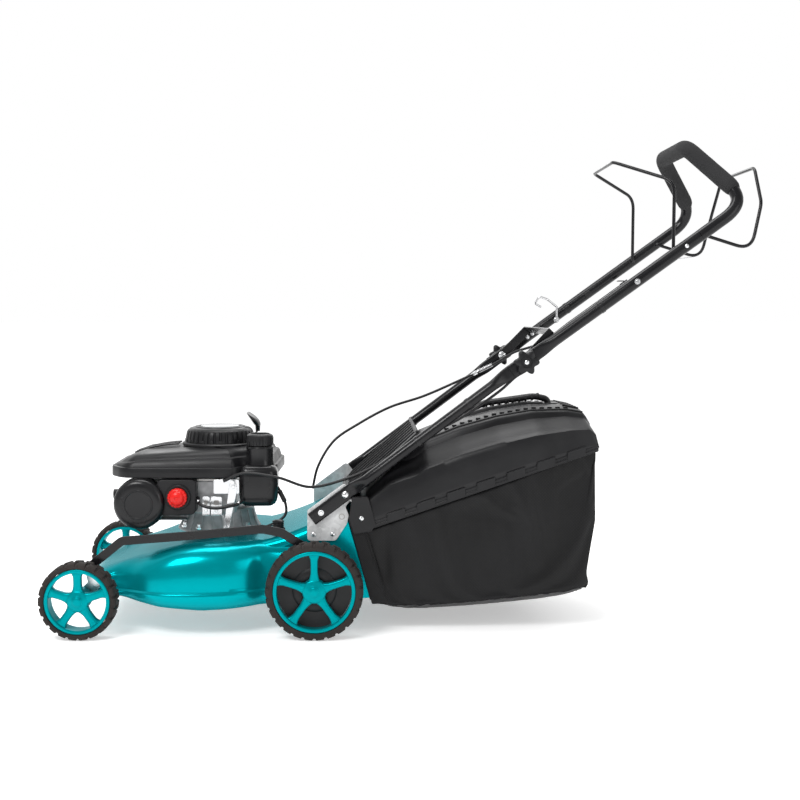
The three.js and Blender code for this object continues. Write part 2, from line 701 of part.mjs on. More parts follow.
// The recoil starter's housing: a slotted dome, open below, with a post for its pulley.
const ROPE_SLOT_Z = DOME_SEAT + 13;
function recoilHousing() {
  const top = DOME_SEAT + DOME_HEIGHT;
  const shell = latheZ(
    [[DOME_R, DOME_SEAT], [DOME_R, DOME_SEAT + 5], [DOME_R - 6, DOME_SEAT + 14], [DOME_R - 13, top - 8],
      [DOME_R - 26, top], [0, top], [0, top - 4], [DOME_R - 28, top - 4], [DOME_R - 17, top - 11],
      [DOME_R - 10, DOME_SEAT + 13], [DOME_R - 4, DOME_SEAT + 4], [DOME_R - 4, DOME_SEAT],
      [DOME_R, DOME_SEAT]],
    0, 0, 24,
  );
  const post = rodZ(7, 0, 0, DOME_SEAT + 6, top - 2, 12);
  const slots = Array.from({ length: 8 }, (_, i) => {
    const slot = box(DOME_R - 18, DOME_R + 2, -3, 3, DOME_SEAT + 8, top - 10);
    return slot.rotateZ(((i + 0.5) * Math.PI) / 4);
  });
  const ropeHole = box(36, 70, STARTER_PULLEY_R - 6, STARTER_PULLEY_R + 14, ROPE_SLOT_Z - 6, ROPE_SLOT_Z + 7);
  return cut(join(shell, post), ...slots, ropeHole).translate(CRANK_X, 0, 0);
}
add("recoil_housing", recoilHousing(), BLACK_PLASTIC);
add(
  "starter_pulley",
  latheZ(
    [[8, DOME_SEAT + 8], [STARTER_PULLEY_R, DOME_SEAT + 8], [STARTER_PULLEY_R, DOME_SEAT + 9.5],
      [STARTER_PULLEY_R - 8, DOME_SEAT + 11], [STARTER_PULLEY_R - 8, DOME_SEAT + 15],
      [STARTER_PULLEY_R, DOME_SEAT + 17], [STARTER_PULLEY_R, DOME_SEAT + 18], [8, DOME_SEAT + 18],
      [8, DOME_SEAT + 8]],
    CRANK_X, 0, 24,
  ),
  BLACK_PLASTIC,
);

// The starter grip: a T-shaped fin beside the dome, at the end of the rope.
const GRIP_FOOT = [-321, 52, 398];
const ROPE_R = 2;
add(
  "starter_rope",
  bentRod(
    [[CRANK_X + 8, STARTER_PULLEY_R - 4, ROPE_SLOT_Z], [-352, STARTER_PULLEY_R + 3, ROPE_SLOT_Z],
      [GRIP_FOOT[0], GRIP_FOOT[1], GRIP_FOOT[2] - ROPE_R - GAP]],
    6, ROPE_R, 8,
  ),
  FABRIC,
);
function starterGrip() {
  const [x, y, z] = GRIP_FOOT;
  const section = (h, a, b, lean) =>
    circle(0, 0, 1, 14).map((p) => [x + lean + a * p[0], y + b * p[1], z + h]);
  return loft([
    section(0, 6, 5, 0), section(12, 7, 8, 0), section(18, 9, 22, -2), section(30, 8, 30, -11),
    section(42, 4, 26, -22),
  ]);
}
add("starter_grip", starterGrip(), BLACK_PLASTIC);

// The fuel tank hangs under the shroud, its neck through the shroud's corner.
function fuelTank() {
  const plan = [[-346, -130, 16], [-266, -126, 16], [-268, -44, 16], [-346, -44, 16]];
  const ring = (z, inset) => roundedOutline(plan, 2, inset).map((p) => [p[0], p[1], z]);
  const bulb = loft([ring(253, 14), ring(262, 4), ring(300, 2), ring(SHROUD_BOTTOM - 2, 8)]);
  const inside = loft([ring(256, 17), ring(264, 7), ring(299, 5), ring(SHROUD_BOTTOM - 5, 11)]);
  const neck = rodZ(TANK_NECK_R, CAP_AT[0], CAP_AT[1], SHROUD_BOTTOM - 6, SHROUD_TOP + 4, 16);
  const bore = rodZ(TANK_NECK_R - 3, CAP_AT[0], CAP_AT[1], SHROUD_BOTTOM - 16, SHROUD_TOP + 10, 16);
  return cut(join(bulb, neck), inside, bore);
}
add("fuel_tank", fuelTank(), BLACK_PLASTIC);
add(
  "fuel_cap",
  latheZ(
    [[0, 402], [0, 406], [22, 406], [28, 401], [29, 382], [TANK_NECK_R + 0.8, 382],
      [TANK_NECK_R + 0.8, 384], [TANK_NECK_R + 0.8, 395], [20, 401], [0, 402]].reverse(),
    CAP_AT[0], CAP_AT[1], 16,
  ),
  BLACK_PLASTIC,
);

const FILTER_AT = [-556, 262];
add(
  "air_filter_cover",
  latheY(
    [[0, -154], [20, -154], [26, -151], [32, -151], [36, -154], [46, -152], [FILTER_R, -142],
      [FILTER_R, -102],
      [FILTER_R - 3, -102], [FILTER_R - 3, -140], [45, -148], [0, -149]],
    ...FILTER_AT, 20,
  ),
  BLACK_PLASTIC,
);
add(
  "air_filter",
  latheY([[16, -140], [44, -140], [44, -106], [16, -106], [16, -140]], ...FILTER_AT, 16),
  FOAM,
);
const PRIMER_AT = [-474, 276];
function carburettor() {
  const backing = rodY(FILTER_R, ...FILTER_AT, -101.6, -98, 20);
  return join(
    backing,
    sideExtrude(
      roundedOutline([[-530, 232, 12], [-440, 238, 14], [-436, 312, 14], [-530, 312, 12]]), -136, -100.5,
    ),
    sideExtrude(
      roundedOutline([[-520, 244, 8], [-456, 244, 8], [-456, 300, 8], [-520, 300, 8]], 1), -102, -67,
    ),
    rodY(PRIMER_R + 5, PRIMER_AT[0], PRIMER_AT[1], -142, -130, 20),
  );
}
const filterClearance = rodY(FILTER_R + 2, ...FILTER_AT, -160, -101.6, 20);
const primerSeat = rodY(PRIMER_R + RUNNING, ...PRIMER_AT, -150, -134.5, 20);
add("carburettor", cut(carburettor(), filterClearance, primerSeat), BLACK_PLASTIC);
add(
  "primer_bulb",
  latheY(
    [[0, -163], [8, -162], [14, -158], [17, -150], [PRIMER_R, -148], [PRIMER_R, -140], [0, -140]],
    ...PRIMER_AT, 20,
  ),
  RED,
);
add(
  "muffler",
  upExtrude(roundedOutline([[-540, 60, 12], [-440, 60, 12], [-440, 122, 16], [-540, 122, 16]]), 226, 300),
  STEEL,
);
add(
  "spark_plug_boot",
  join(
    latheZ([[0, 0], [8, 0], [8, 30], [11, 32], [11, 52], [0, 54]], 0, 0, 12)
      .rotateY(-Math.PI / 2).translate(-586.3, 0, 262),
    rodZ(5, -634, 0, 236, 262, 10),
  ),
  BLACK_PLASTIC,
);
// The brake and throttle bracket, with the lever that stops the engine.
const LEVER_PIVOT = [-356, 300];
add(
  "cable_bracket",
  join(
    sideExtrude(roundedOutline([[-398, 284, 4], [-344, 284, 4], [-344, 314, 4], [-398, 314, 4]]), -142, -139),
    box(-398, -380, -142, -66.3, 284, 287),
    rodY(4, LEVER_PIVOT[0], LEVER_PIVOT[1], -147, -140, 10),
  ),
  ZINC,
);
add(
  "brake_lever",
  sideExtrude(
    roundedOutline([[-364, 306, 6], [-350, 310, 6], [-348, 292, 5], [-366, 208, 5], [-378, 206, 5]]),
    -142.4, -145.4, [circle(...LEVER_PIVOT, 4.8, 10)],
  ),
  ZINC,
);
add(
  "fuel_hose",
  cable(
    [[-336, -134.5, 268], [-352, -152, 262], [-392, -156, 256], [-424, -150, 262], [-433, -128, 274]],
    3.5, 14,
  ),
  BLACK_PLASTIC,
);

// ---------- Handle ----------
// A point along the handle from the fold pivot: [x, z] at a distance, raised off the axis.
const along = (origin, angle, s, lift = 0) => [
  origin[0] + s * Math.cos(angle) - lift * Math.sin(angle),
  origin[1] + s * Math.sin(angle) + lift * Math.cos(angle),
];
const PLATE_Y = TUNNEL_HALF_WIDTH + GAP;
const FOOT_Y = PLATE_Y + BRACKET_T + GAP + FLAT_T / 2; // the lower handle's foot
const LOWER_FLAT_Y = TUBE_Y - FLAT_T / 2 - GAP / 2;
const UPPER_FLAT_Y = TUBE_Y + FLAT_T / 2 + GAP / 2;
const UPPER_BOLT = along(LOWER_BOLT, HANDLE_ANGLE, 63);

const bracketOutline = [
  [-199, 190, 6], [-140, 190, 10], [-116, 226, 12], [-112, 244, 10], [-120, 262, 10], [-100, 284, 8],
  [-121, 312, 8], [-199, 254, 6],
];
// The plate and the two bolts that hold the handle's foot to it.
function bracket() {
  const bolt = (p) =>
    latheY(
      [[0, PLATE_Y], [BOLT_R, PLATE_Y], [BOLT_R, FOOT_Y + FLAT_T / 2 + GAP], [9, FOOT_Y + FLAT_T / 2 + GAP],
        [9, FOOT_Y + FLAT_T / 2 + 6], [5, FOOT_Y + FLAT_T / 2 + 9], [0, FOOT_Y + FLAT_T / 2 + 9]],
      p[0], p[1], 10,
    );
  const plate = sideExtrude(roundedOutline(bracketOutline, 2), PLATE_Y, PLATE_Y + BRACKET_T);
  return join(plate, bolt(LOWER_BOLT), bolt(UPPER_BOLT));
}
add("handle_bracket_right", bracket(), ZINC);
add("handle_bracket_left", mirrored(bracket()), ZINC);

// A tube whose section changes: each station is [distance, y, half thickness, half width].
function flattenedTube(origin, angle, stations, sides = 10) {
  return loft(stations.map(([s, y, a, b]) =>
    Array.from({ length: sides }, (_, k) => {
      const t = (2 * Math.PI * (k + 0.5)) / sides;
      const power = a < b * 0.7 ? 0.5 : 1;
      const bulge = (v) => Math.sign(v) * Math.abs(v) ** power;
      const [x, z] = along(origin, angle, s, b * bulge(Math.sin(t)));
      return [x, y + a * bulge(Math.cos(t)), z];
    })));
}
const HANDLE_SPAN = Math.hypot(FOLD_PIVOT[0] - LOWER_BOLT[0], FOLD_PIVOT[1] - LOWER_BOLT[1]);
const flat = [FLAT_T / 2, FLAT_WIDTH / 2];
function lowerHandle() {
  const round = [LOWER_TUBE_R, LOWER_TUBE_R];
  const bar = flattenedTube(LOWER_BOLT, HANDLE_ANGLE, [
    [-24, FOOT_Y, ...flat], [76, FOOT_Y, ...flat], [76 + 44, TUBE_Y, ...round],
    [HANDLE_SPAN - JOINT_REACH - 52, TUBE_Y, ...round],
    [HANDLE_SPAN - JOINT_REACH - 8, LOWER_FLAT_Y, ...flat],
    [HANDLE_SPAN + JOINT_REACH - 6, LOWER_FLAT_Y, ...flat],
  ]);
  const bolts = [LOWER_BOLT, UPPER_BOLT, FOLD_PIVOT];
  return cut(bar, ...bolts.map((p) => rodY(BOLT_R + GAP, p[0], p[1], 100, 300, 10)));
}
add("lower_handle_right", lowerHandle(), BLACK_PAINT);
add("lower_handle_left", mirrored(lowerHandle()), BLACK_PAINT);

const UPPER_ANGLE = Math.atan2(HANDLE_BEND[1] - FOLD_PIVOT[1], HANDLE_BEND[0] - FOLD_PIVOT[0]);
const onUpper = (s, lift = 0) => along(FOLD_PIVOT, UPPER_ANGLE, s, lift);
const at = ([x, z], y) => [x, y, z];
const [TOP_X, TOP_Z, TOP_Y] = HANDLE_TOP;
const UPPER_SPAN = Math.hypot(HANDLE_BEND[0] - FOLD_PIVOT[0], HANDLE_BEND[1] - FOLD_PIVOT[1]);
// The loop above the straight tubes: arms leaning in to the crossbar.
const loopCorners = [
  at(onUpper(UPPER_SPAN - 120), TUBE_Y), at(HANDLE_BEND, TUBE_Y), [TOP_X, TOP_Y, TOP_Z],
  [TOP_X, -TOP_Y, TOP_Z], at(HANDLE_BEND, -TUBE_Y), at(onUpper(UPPER_SPAN - 120), -TUBE_Y),
];
const loopStations = () => pathStations(roundedPath(loopCorners, [60, 42, 42, 60]), 3);

function upperHandle() {
  const round = [UPPER_TUBE_R, UPPER_TUBE_R];
  const leg = flattenedTube(FOLD_PIVOT, UPPER_ANGLE, [
    [-JOINT_REACH, UPPER_FLAT_Y, ...flat], [JOINT_REACH, UPPER_FLAT_Y, ...flat],
    [JOINT_REACH + 44, TUBE_Y, ...round], [UPPER_SPAN - 119, TUBE_Y, ...round],
  ]);
  const holes = [[FOLD_PIVOT, BOLT_R], [onUpper(STOP_AT), BAIL_R], [onUpper(DRIVE_AT), BAIL_R]];
  return cut(
    join(sweep(loopStations(), UPPER_TUBE_R, 10), leg, mirrored(leg)),
    ...holes.map(([p, r]) => rodY(r + GAP * 1.5, p[0], p[1], -300, 300, 10)),
  );
}
const STOP_AT = Math.hypot(STOP_PIVOT[0] - FOLD_PIVOT[0], STOP_PIVOT[1] - FOLD_PIVOT[1]);
const DRIVE_AT = Math.hypot(DRIVE_PIVOT[0] - FOLD_PIVOT[0], DRIVE_PIVOT[1] - FOLD_PIVOT[1]);
add("upper_handle", upperHandle(), BLACK_PAINT);

// The foam grip covers the arms and the crossbar.
function foamGrip() {
  const path = loopStations();
  const first = path.findIndex((p) => p.y < TUBE_Y - 12);
  const last = path.length - 1 - first;
  const middle = path.slice(first + 1, last);
  const lead = (a, b) => a.clone().lerp(b, 0.12);
  const stations = [lead(path[first], middle[0]), ...middle, lead(path[last], middle[middle.length - 1])];
  return cut(sweep(stations, GRIP_R, 10), sweep(path, UPPER_TUBE_R + GAP, 10));
}
add("grip_foam", foamGrip(), FOAM);

// Bolt, brace and star knob at the fold.
const BRACE_T = 3;
const BRACE_LEAN = 5;
const BRACE_CORNER = [307, 627];
const BRACE_Y = LOWER_FLAT_Y - FLAT_T / 2 - GAP;
function crossBrace() {
  const w = 10;
  const d = new THREE.Vector2(...minus(BRACE_CORNER, FOLD_PIVOT)).normalize();
  const side = (s, k) => [
    FOLD_PIVOT[0] + d.x * s - d.y * k, FOLD_PIVOT[1] + d.y * s + d.x * k,
  ];
  const length = Math.hypot(...minus(BRACE_CORNER, FOLD_PIVOT));
  const ring = (s, y) =>
    [[-w, y - BRACE_T], [w, y - BRACE_T], [w, y], [-w, y]].map(([k, yy]) => at(side(s, k), yy));
  const arm = cut(
    loft([
      ring(-14, BRACE_Y), ring(16, BRACE_Y), ring(length - 22, BRACE_Y - BRACE_LEAN),
      ring(length, BRACE_Y - BRACE_LEAN),
    ]),
    rodY(BOLT_R + GAP, ...FOLD_PIVOT, 0, 300, 10),
  );
  const cross = [side(length - BRACE_T, -w), side(length, -w), side(length, w), side(length - BRACE_T, w)];
  return join(arm, mirrored(arm), sideExtrude(cross, BRACE_LEAN - BRACE_Y, BRACE_Y - BRACE_LEAN));
}
add("cross_brace", crossBrace(), BLACK_PAINT);
const KNOB_Y = UPPER_FLAT_Y + FLAT_T / 2 + GAP;
const foldBolt = latheY(
  [[0, BRACE_Y - BRACE_T - 5], [8, BRACE_Y - BRACE_T - 4], [9, BRACE_Y - BRACE_T - GAP],
    [BOLT_R, BRACE_Y - BRACE_T - GAP], [BOLT_R, KNOB_Y + 10], [0, KNOB_Y + 10]],
  ...FOLD_PIVOT, 12,
);
add("fold_bolt_right", foldBolt, ZINC);
add("fold_bolt_left", mirrored(foldBolt), ZINC);
function starKnob() {
  const lobes = 6;
  const outline = Array.from({ length: lobes * 4 }, (_, i) => {
    const a = (2 * Math.PI * i) / (lobes * 4);
    const r = KNOB_R - 4 + 4 * Math.cos(a * lobes);
    return [FOLD_PIVOT[0] + r * Math.cos(a), FOLD_PIVOT[1] + r * Math.sin(a)];
  });
  const ring = (scale, y) => outline.map(([x, z]) => [
    FOLD_PIVOT[0] + (x - FOLD_PIVOT[0]) * scale, y, FOLD_PIVOT[1] + (z - FOLD_PIVOT[1]) * scale]);
  const head = loft([
    ring(0.8, KNOB_Y + 25), ring(1, KNOB_Y + 21), ring(1, KNOB_Y + 12), ring(0.86, KNOB_Y + 8),
  ]);
  const neck = rodY(13, ...FOLD_PIVOT, KNOB_Y, KNOB_Y + 12, 16);
  return cut(join(head, neck), rodY(BOLT_R + GAP, ...FOLD_PIVOT, KNOB_Y - 5, KNOB_Y + 10.5, 10));
}
add("knob_right", starKnob(), BLACK_PLASTIC);
add("knob_left", mirrored(starKnob()), BLACK_PLASTIC);

// Bails: bent rods whose ends turn into holes in the tubes.
const both = (half) => [...half, ...half.map(([x, y, z]) => [x, -y, z]).reverse()];
const stopHole = onUpper(STOP_AT);
const driveHole = onUpper(DRIVE_AT);
const STOP_ARM_Y = TUBE_Y - UPPER_TUBE_R - BAIL_R - RUNNING;
add(
  "stop_bail",
  bentRod(
    both([at(stopHole, TUBE_Y + 4), at(stopHole, STOP_ARM_Y), [552, STOP_ARM_Y, 933], [443, 100, 981]]),
    [6, 36, 24, 24, 36, 6], BAIL_R, 8,
  ),
  BLACK_PAINT,
);
add(
  "drive_bail",
  bentRod(
    both([at(driveHole, TUBE_Y + 4), at(driveHole, STOP_ARM_Y - 1), [712, STOP_ARM_Y - 1, 793],
      [733, 170, 889], [737, 110, 968]]),
    [6, 30, 40, 30, 30, 40, 30, 6], BAIL_R, 8,
  ),
  BLACK_PAINT,
);
const GUIDE_AT = 158;
function ropeGuide() {
  const [x, z] = onUpper(GUIDE_AT);
  const y = TUBE_Y - UPPER_TUBE_R;
  return bentRod(
    [[x, y - 3, z - 16], [x, y - 3, z + 22], [x - 24, y - 8, z + 40], [x - 44, y - 18, z + 46],
      [x - 54, y - 10, z + 30], [x - 38, y - 4, z + 22]],
    [6, 8, 8, 8], 2.5, 7, 2,
  );
}
add("rope_guide", ropeGuide(), ZINC);

// ---------- Control cables ----------
const CABLE_R = 3;
add(
  "brake_cable_lower",
  cable([[-376, -150, 312], [-330, -156, 330], [-260, -166, 322], [-193, -164, 302], [-120, -160, 318],
    [-58, -163, 346], [30, -163, 400], [119, -166, 446], [196, -170, 500], [222, -170, 526]], CABLE_R, 16, 6),
  BLACK_PLASTIC,
);
const upperSheath = (side, from, to, lift) =>
  [0, 1, 2, 3].map((k) => at(onUpper(from + ((to - from) * k) / 3, lift), side));
add(
  "brake_cable_upper",
  cable([[224, -170, 528], [262, -171, 552], ...upperSheath(-170, 80, 300, -8)], CABLE_R, 8, 6),
  BLACK_PLASTIC,
);
add(
  "drive_cable_lower",
  cable([[-200, 118, 256], [-186, 128, 310], [-150, 140, 366], [-94, 150, 404], [-20, 158, 443],
    [62, 162, 470], [145, 165, 506], [200, 167, 532], [228, 167, 545]], CABLE_R, 16, 6),
  BLACK_PLASTIC,
);
add(
  "drive_cable_upper",
  cable([[231, 167, 547], [275, 167, 573], ...upperSheath(163, 90, 330, -28)], CABLE_R, 8, 6),
  BLACK_PLASTIC,
);

// ---------- Grass bag ----------
// The lid's flange line and crown, from front to rear: [x, z].
const LID_FLANGE = [[-62, 224], [406, 386]];
const LID_CROWN = [
  [-56, 236], [14, 372], [46, 402], [120, 432], [200, 454], [275, 466], [350, 466], [388, 458], [403, 428],
];
const [FLANGE_RUN, FLANGE_RISE] = minus(LID_FLANGE[1], LID_FLANGE[0]);
const flangeZ = (x) => LID_FLANGE[0][1] + ((x - LID_FLANGE[0][0]) * FLANGE_RISE) / FLANGE_RUN;
// How much of the crown's height is left at each distance from the middle.
const LID_SECTIONS = [[186, 0.06], [178, 0.34], [160, 0.66], [120, 0.9], [50, 1]];

function lidBody(shrink) {
  const sections = [...LID_SECTIONS, ...LID_SECTIONS.slice().reverse().map(([y, k]) => [-y, k])];
  return loft(sections.map(([y, k]) => {
    const side = y - Math.sign(y) * shrink;
    const low = LID_CROWN.map(([x]) => [x + (x < 150 ? shrink : -shrink), side, flangeZ(x) - shrink * 3])
      .reverse();
    const top = LID_CROWN.map(([x, z]) => {
      const reach = x < 150 ? shrink : x > 380 ? -shrink : 0;
      return [x + reach, side, flangeZ(x) + (z - flangeZ(x)) * k - (x > -30 ? shrink : 0)];
    });
    return [...top, ...low.map(([x, yy, z]) => [x, yy, z - 2])];
  }));
}
function bagLid() {
  const shell = solid(lidBody(0)).subtract(solid(lidBody(3)));
  const handle = bentRod(
    [[150, 0, 434], [172, 0, 464], [300, 0, 482], [322, 0, 460]], [16, 16], 10, 10,
  );
  const tabs = [0.1, 0.26, 0.42, 0.58, 0.74, 0.9].map((t) => {
    const x = LID_FLANGE[0][0] + t * (LID_FLANGE[1][0] - LID_FLANGE[0][0]);
    return sideExtrude(
      [[x - 18, flangeZ(x - 18) + 6], [x - 18, flangeZ(x - 18) - 16], [x + 18, flangeZ(x + 18) - 16],
        [x + 18, flangeZ(x + 18) + 6]], 183.5, 187.5);
  });
  const flange = sideExtrude(
    [[-58, flangeZ(-58) + 8], [-58, flangeZ(-58) - 6], [400, flangeZ(400) - 6], [400, flangeZ(400) + 8]],
    183.5, 187.5,
  );
  const cuff = [flange, ...tabs].flatMap((g) => [g, mirrored(g)]);
  return geometryOf([handle, ...cuff].reduce((a, g) => a.add(solid(g)), shell));
}
add("bag_lid", bagLid(), BLACK_PLASTIC);

// The fabric body, open in front and on top.
const BAG_UNDERSIDE = [[-12, 54], [150, 66], [340, 84], [390, 114], [382, 146], [402, 236], [398, 374]];
const bagSide = (shrink) => {
  const top = [[-54, flangeZ(-54) - 8 + shrink * 3], [398, flangeZ(398) - 8 + shrink * 3]];
  const front = [-54, flangeZ(-54) - 8];
  const low = BAG_UNDERSIDE.slice(0, -1).map(([x, z], i) => [
    x - (i >= 2 ? shrink : 0) - (i === 0 ? shrink * 6 : 0), z + (i < 4 ? shrink : 0)]);
  const lead = shrink ? [front[0] - 30, 60 + shrink] : null;
  return [
    [front[0] - shrink * 6, top[0][1] - (shrink ? shrink * 2 : 0)], ...(lead ? [lead] : []), ...low,
    [398 - shrink, top[1][1]],
  ];
};
const BAG_SECTIONS = [[1, 10], [0.97, 3], [0.9, 0]];
function bagBody() {
  const rings = (shrink) => {
    const middle = bagSide(shrink);
    const centre = [170, 220];
    const one = (f, inset, sign) => middle.map(([x, z]) => {
      const d = new THREE.Vector2(x - centre[0], z - centre[1]);
      const k = shrink ? 1 : 1 - inset / d.length();
      return [centre[0] + d.x * k, sign * (BAG_HALF_WIDTH - shrink) * f, centre[1] + d.y * k];
    });
    return [
      ...BAG_SECTIONS.map(([f, inset]) => one(f, inset, -1)),
      ...BAG_SECTIONS.slice().reverse().map(([f, inset]) => one(f, inset, 1)),
    ];
  };
  return geometryOf(solid(loft(rings(0))).subtract(solid(loft(rings(BAG_WALL)))));
}
add("bag_body", bagBody(), FABRIC);

// A steel hoop stiffens the bag's mouth and hooks over the bracket's step.
function bagFrame() {
  const y = BAG_HALF_WIDTH - 8;
  return bentRod(
    [[-98, -y, 222], [-46, -y, 62], [-46, y, 62], [-98, y, 222]], [16, 16], 5, 8,
  );
}
add("bag_frame", bagFrame(), BLACK_PAINT);

// ---------- Rear flap ----------
const FLAP_HINGE = [-124, 274];
const FLAP_TIP = [33, 418];
const FLAP_HALF_WIDTH = 160;
function rearFlap() {
  const d = new THREE.Vector2(...minus(FLAP_TIP, FLAP_HINGE));
  const n = new THREE.Vector2(-d.y, d.x).normalize().multiplyScalar(1.5);
  const plate = [
    [FLAP_HINGE[0] + n.x, FLAP_HINGE[1] + n.y], [FLAP_HINGE[0] - n.x, FLAP_HINGE[1] - n.y],
    [FLAP_TIP[0] - n.x, FLAP_TIP[1] - n.y], [FLAP_TIP[0] + n.x, FLAP_TIP[1] + n.y],
  ];
  return join(
    sideExtrude(plate, -FLAP_HALF_WIDTH, FLAP_HALF_WIDTH),
    rodY(5, ...FLAP_HINGE, -FLAP_HALF_WIDTH - 6, FLAP_HALF_WIDTH + 6, 12),
  );
}
add("rear_flap", rearFlap(), BLACK_PLASTIC);

export default mower;
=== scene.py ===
# A petrol lawn mower with a rear grass bag: the visual model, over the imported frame.
# Shapes are written in millimetres in the frame's axes (+X rear, +Y right, +Z up).
import math

import bpy
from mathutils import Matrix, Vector, noise


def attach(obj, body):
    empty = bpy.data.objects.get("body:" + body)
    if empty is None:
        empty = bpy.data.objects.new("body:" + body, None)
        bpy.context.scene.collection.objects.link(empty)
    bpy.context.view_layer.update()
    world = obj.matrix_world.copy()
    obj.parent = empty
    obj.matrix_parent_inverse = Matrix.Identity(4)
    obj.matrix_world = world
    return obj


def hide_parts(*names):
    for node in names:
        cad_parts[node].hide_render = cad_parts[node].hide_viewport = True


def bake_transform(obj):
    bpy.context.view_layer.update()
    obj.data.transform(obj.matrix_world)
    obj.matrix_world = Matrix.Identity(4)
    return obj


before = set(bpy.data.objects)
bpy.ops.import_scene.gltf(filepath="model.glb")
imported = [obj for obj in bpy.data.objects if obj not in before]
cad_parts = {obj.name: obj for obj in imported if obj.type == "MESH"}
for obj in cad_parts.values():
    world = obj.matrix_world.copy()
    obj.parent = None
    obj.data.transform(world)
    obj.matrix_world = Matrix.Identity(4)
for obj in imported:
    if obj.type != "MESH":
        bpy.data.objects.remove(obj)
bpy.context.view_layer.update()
MM = 0.001
# Upright axes that several pieces share.
ENGINE_AXIS, NECK, DIPSTICK, WASH = (-400, 0, 0), (-304, -88, 0), (-352, 88, 0), (-262, -140, 0)

# ---------- Camera ----------
cam = bpy.data.cameras.new("camera")
cam.lens, cam.sensor_width, cam.shift_x = 51.97, 36.0, 0.05
cam_obj = bpy.data.objects.new("camera", cam)
cam_obj.location = (-0.089, -2.558, 0.66)
cam_obj.rotation_euler = (math.radians(90 - 4.2), 0, 0)
bpy.context.scene.collection.objects.link(cam_obj)
bpy.context.scene.camera = cam_obj


# ---------- Materials ----------
def material(name):
    m = bpy.data.materials.new(name)
    m.use_nodes = True
    nt = m.node_tree
    return m, nt.nodes, nt.links, nt.nodes["Principled BSDF"]


def node(nodes, kind, **inputs):
    n = nodes.new(kind)
    for k, v in inputs.items():
        key = int(k[1:]) if k[0] == "i" and k[1:].isdigit() else k
        n.inputs[key].default_value = v
    return n


def ramp(nodes, links, source, stops):
    n = nodes.new("ShaderNodeValToRGB")
    e = n.color_ramp.elements
    while len(e) < len(stops):
        e.new(0.5)
    for el, (p, c) in zip(e, stops):
        el.position = p
        el.color = (*c, 1) if len(c) == 3 else c
    links.new(source, n.inputs[0])
    return n.outputs[0]


def bumped(nodes, links, bsdf, height, strength, distance):
    b = nodes.new("ShaderNodeBump")
    b.inputs["Strength"].default_value = strength
    b.inputs["Distance"].default_value = distance
    links.new(height, b.inputs["Height"])
    links.new(b.outputs[0], bsdf.inputs["Normal"])


def coords(nodes, links, scale=(1, 1, 1), rotation=(0, 0, 0)):
    tc = nodes.new("ShaderNodeTexCoord")
    mp = nodes.new("ShaderNodeMapping")
    mp.inputs["Scale"].default_value = scale
    mp.inputs["Rotation"].default_value = rotation
    links.new(tc.outputs["Object"], mp.inputs[0])
    return mp.outputs[0]


def noisy(name, dark, light, rough, scale, bump=0.15, distance=0.0004, metallic=0.0, coat=0.0, patch=14.0,
          rough_spread=0.08, detail=6.0, spec=0.28):
    """Colour and roughness that drift in patches, over a fine bumpy grain."""
    m, nodes, links, bsdf = material(name)
    where = coords(nodes, links)
    big = node(nodes, "ShaderNodeTexNoise", Scale=patch, Detail=4.0)
    fine = node(nodes, "ShaderNodeTexNoise", Scale=scale, Detail=detail)
    links.new(where, big.inputs["Vector"])
    links.new(where, fine.inputs["Vector"])
    colour = ramp(nodes, links, big.outputs[0], [(0.3, dark), (0.7, light)])
    links.new(colour, bsdf.inputs["Base Color"])
    r = node(nodes, "ShaderNodeMapRange", i1=0.3, i2=0.7, i3=rough - rough_spread, i4=rough + rough_spread)
    links.new(big.outputs[0], r.inputs[0])
    links.new(r.outputs[0], bsdf.inputs["Roughness"])
    bsdf.inputs["Metallic"].default_value = metallic
    bsdf.inputs["Specular IOR Level"].default_value = spec if metallic < 0.5 else 0.5
    bsdf.inputs["Coat Weight"].default_value = coat
    bsdf.inputs["Coat Roughness"].default_value = 0.08
    bumped(nodes, links, bsdf, fine.outputs[0], bump, distance)
    return m


def weave(name, dark, light, pitch, rough=0.85, sheen=0.3):
    """Two crossed sets of threads, faded into each other by the way each face looks."""
    m, nodes, links, bsdf = material(name)
    waves = []
    for turn in ((0, math.radians(45), math.radians(8)), (0, math.radians(-45), math.radians(-8))):
        where = coords(nodes, links, rotation=turn)
        w = node(nodes, "ShaderNodeTexWave", Scale=1 / pitch / 20.0 * math.pi, Distortion=0.4, Detail=1.0)
        w.wave_type, w.bands_direction = "BANDS", "X"
        links.new(where, w.inputs["Vector"])
        waves.append(w.outputs[0])
    mix = nodes.new("ShaderNodeMath")
    mix.operation = "MULTIPLY"
    links.new(waves[0], mix.inputs[0])
    links.new(waves[1], mix.inputs[1])
    big = node(nodes, "ShaderNodeTexNoise", Scale=7.0, Detail=5.0)
    links.new(coords(nodes, links), big.inputs["Vector"])
    add = nodes.new("ShaderNodeMath")
    add.operation = "MULTIPLY_ADD"
    links.new(mix.outputs[0], add.inputs[0])
    add.inputs[1].default_value = 0.5
    links.new(big.outputs[0], add.inputs[2])
    links.new(ramp(nodes, links, add.outputs[0], [(0.35, dark), (0.95, light)]), bsdf.inputs["Base Color"])
    bsdf.inputs["Roughness"].default_value = rough
    bsdf.inputs["Specular IOR Level"].default_value = 0.22
    bsdf.inputs["Sheen Weight"].default_value = sheen
    bumped(nodes, links, bsdf, mix.outputs[0], 0.5, 0.0005)
    return m


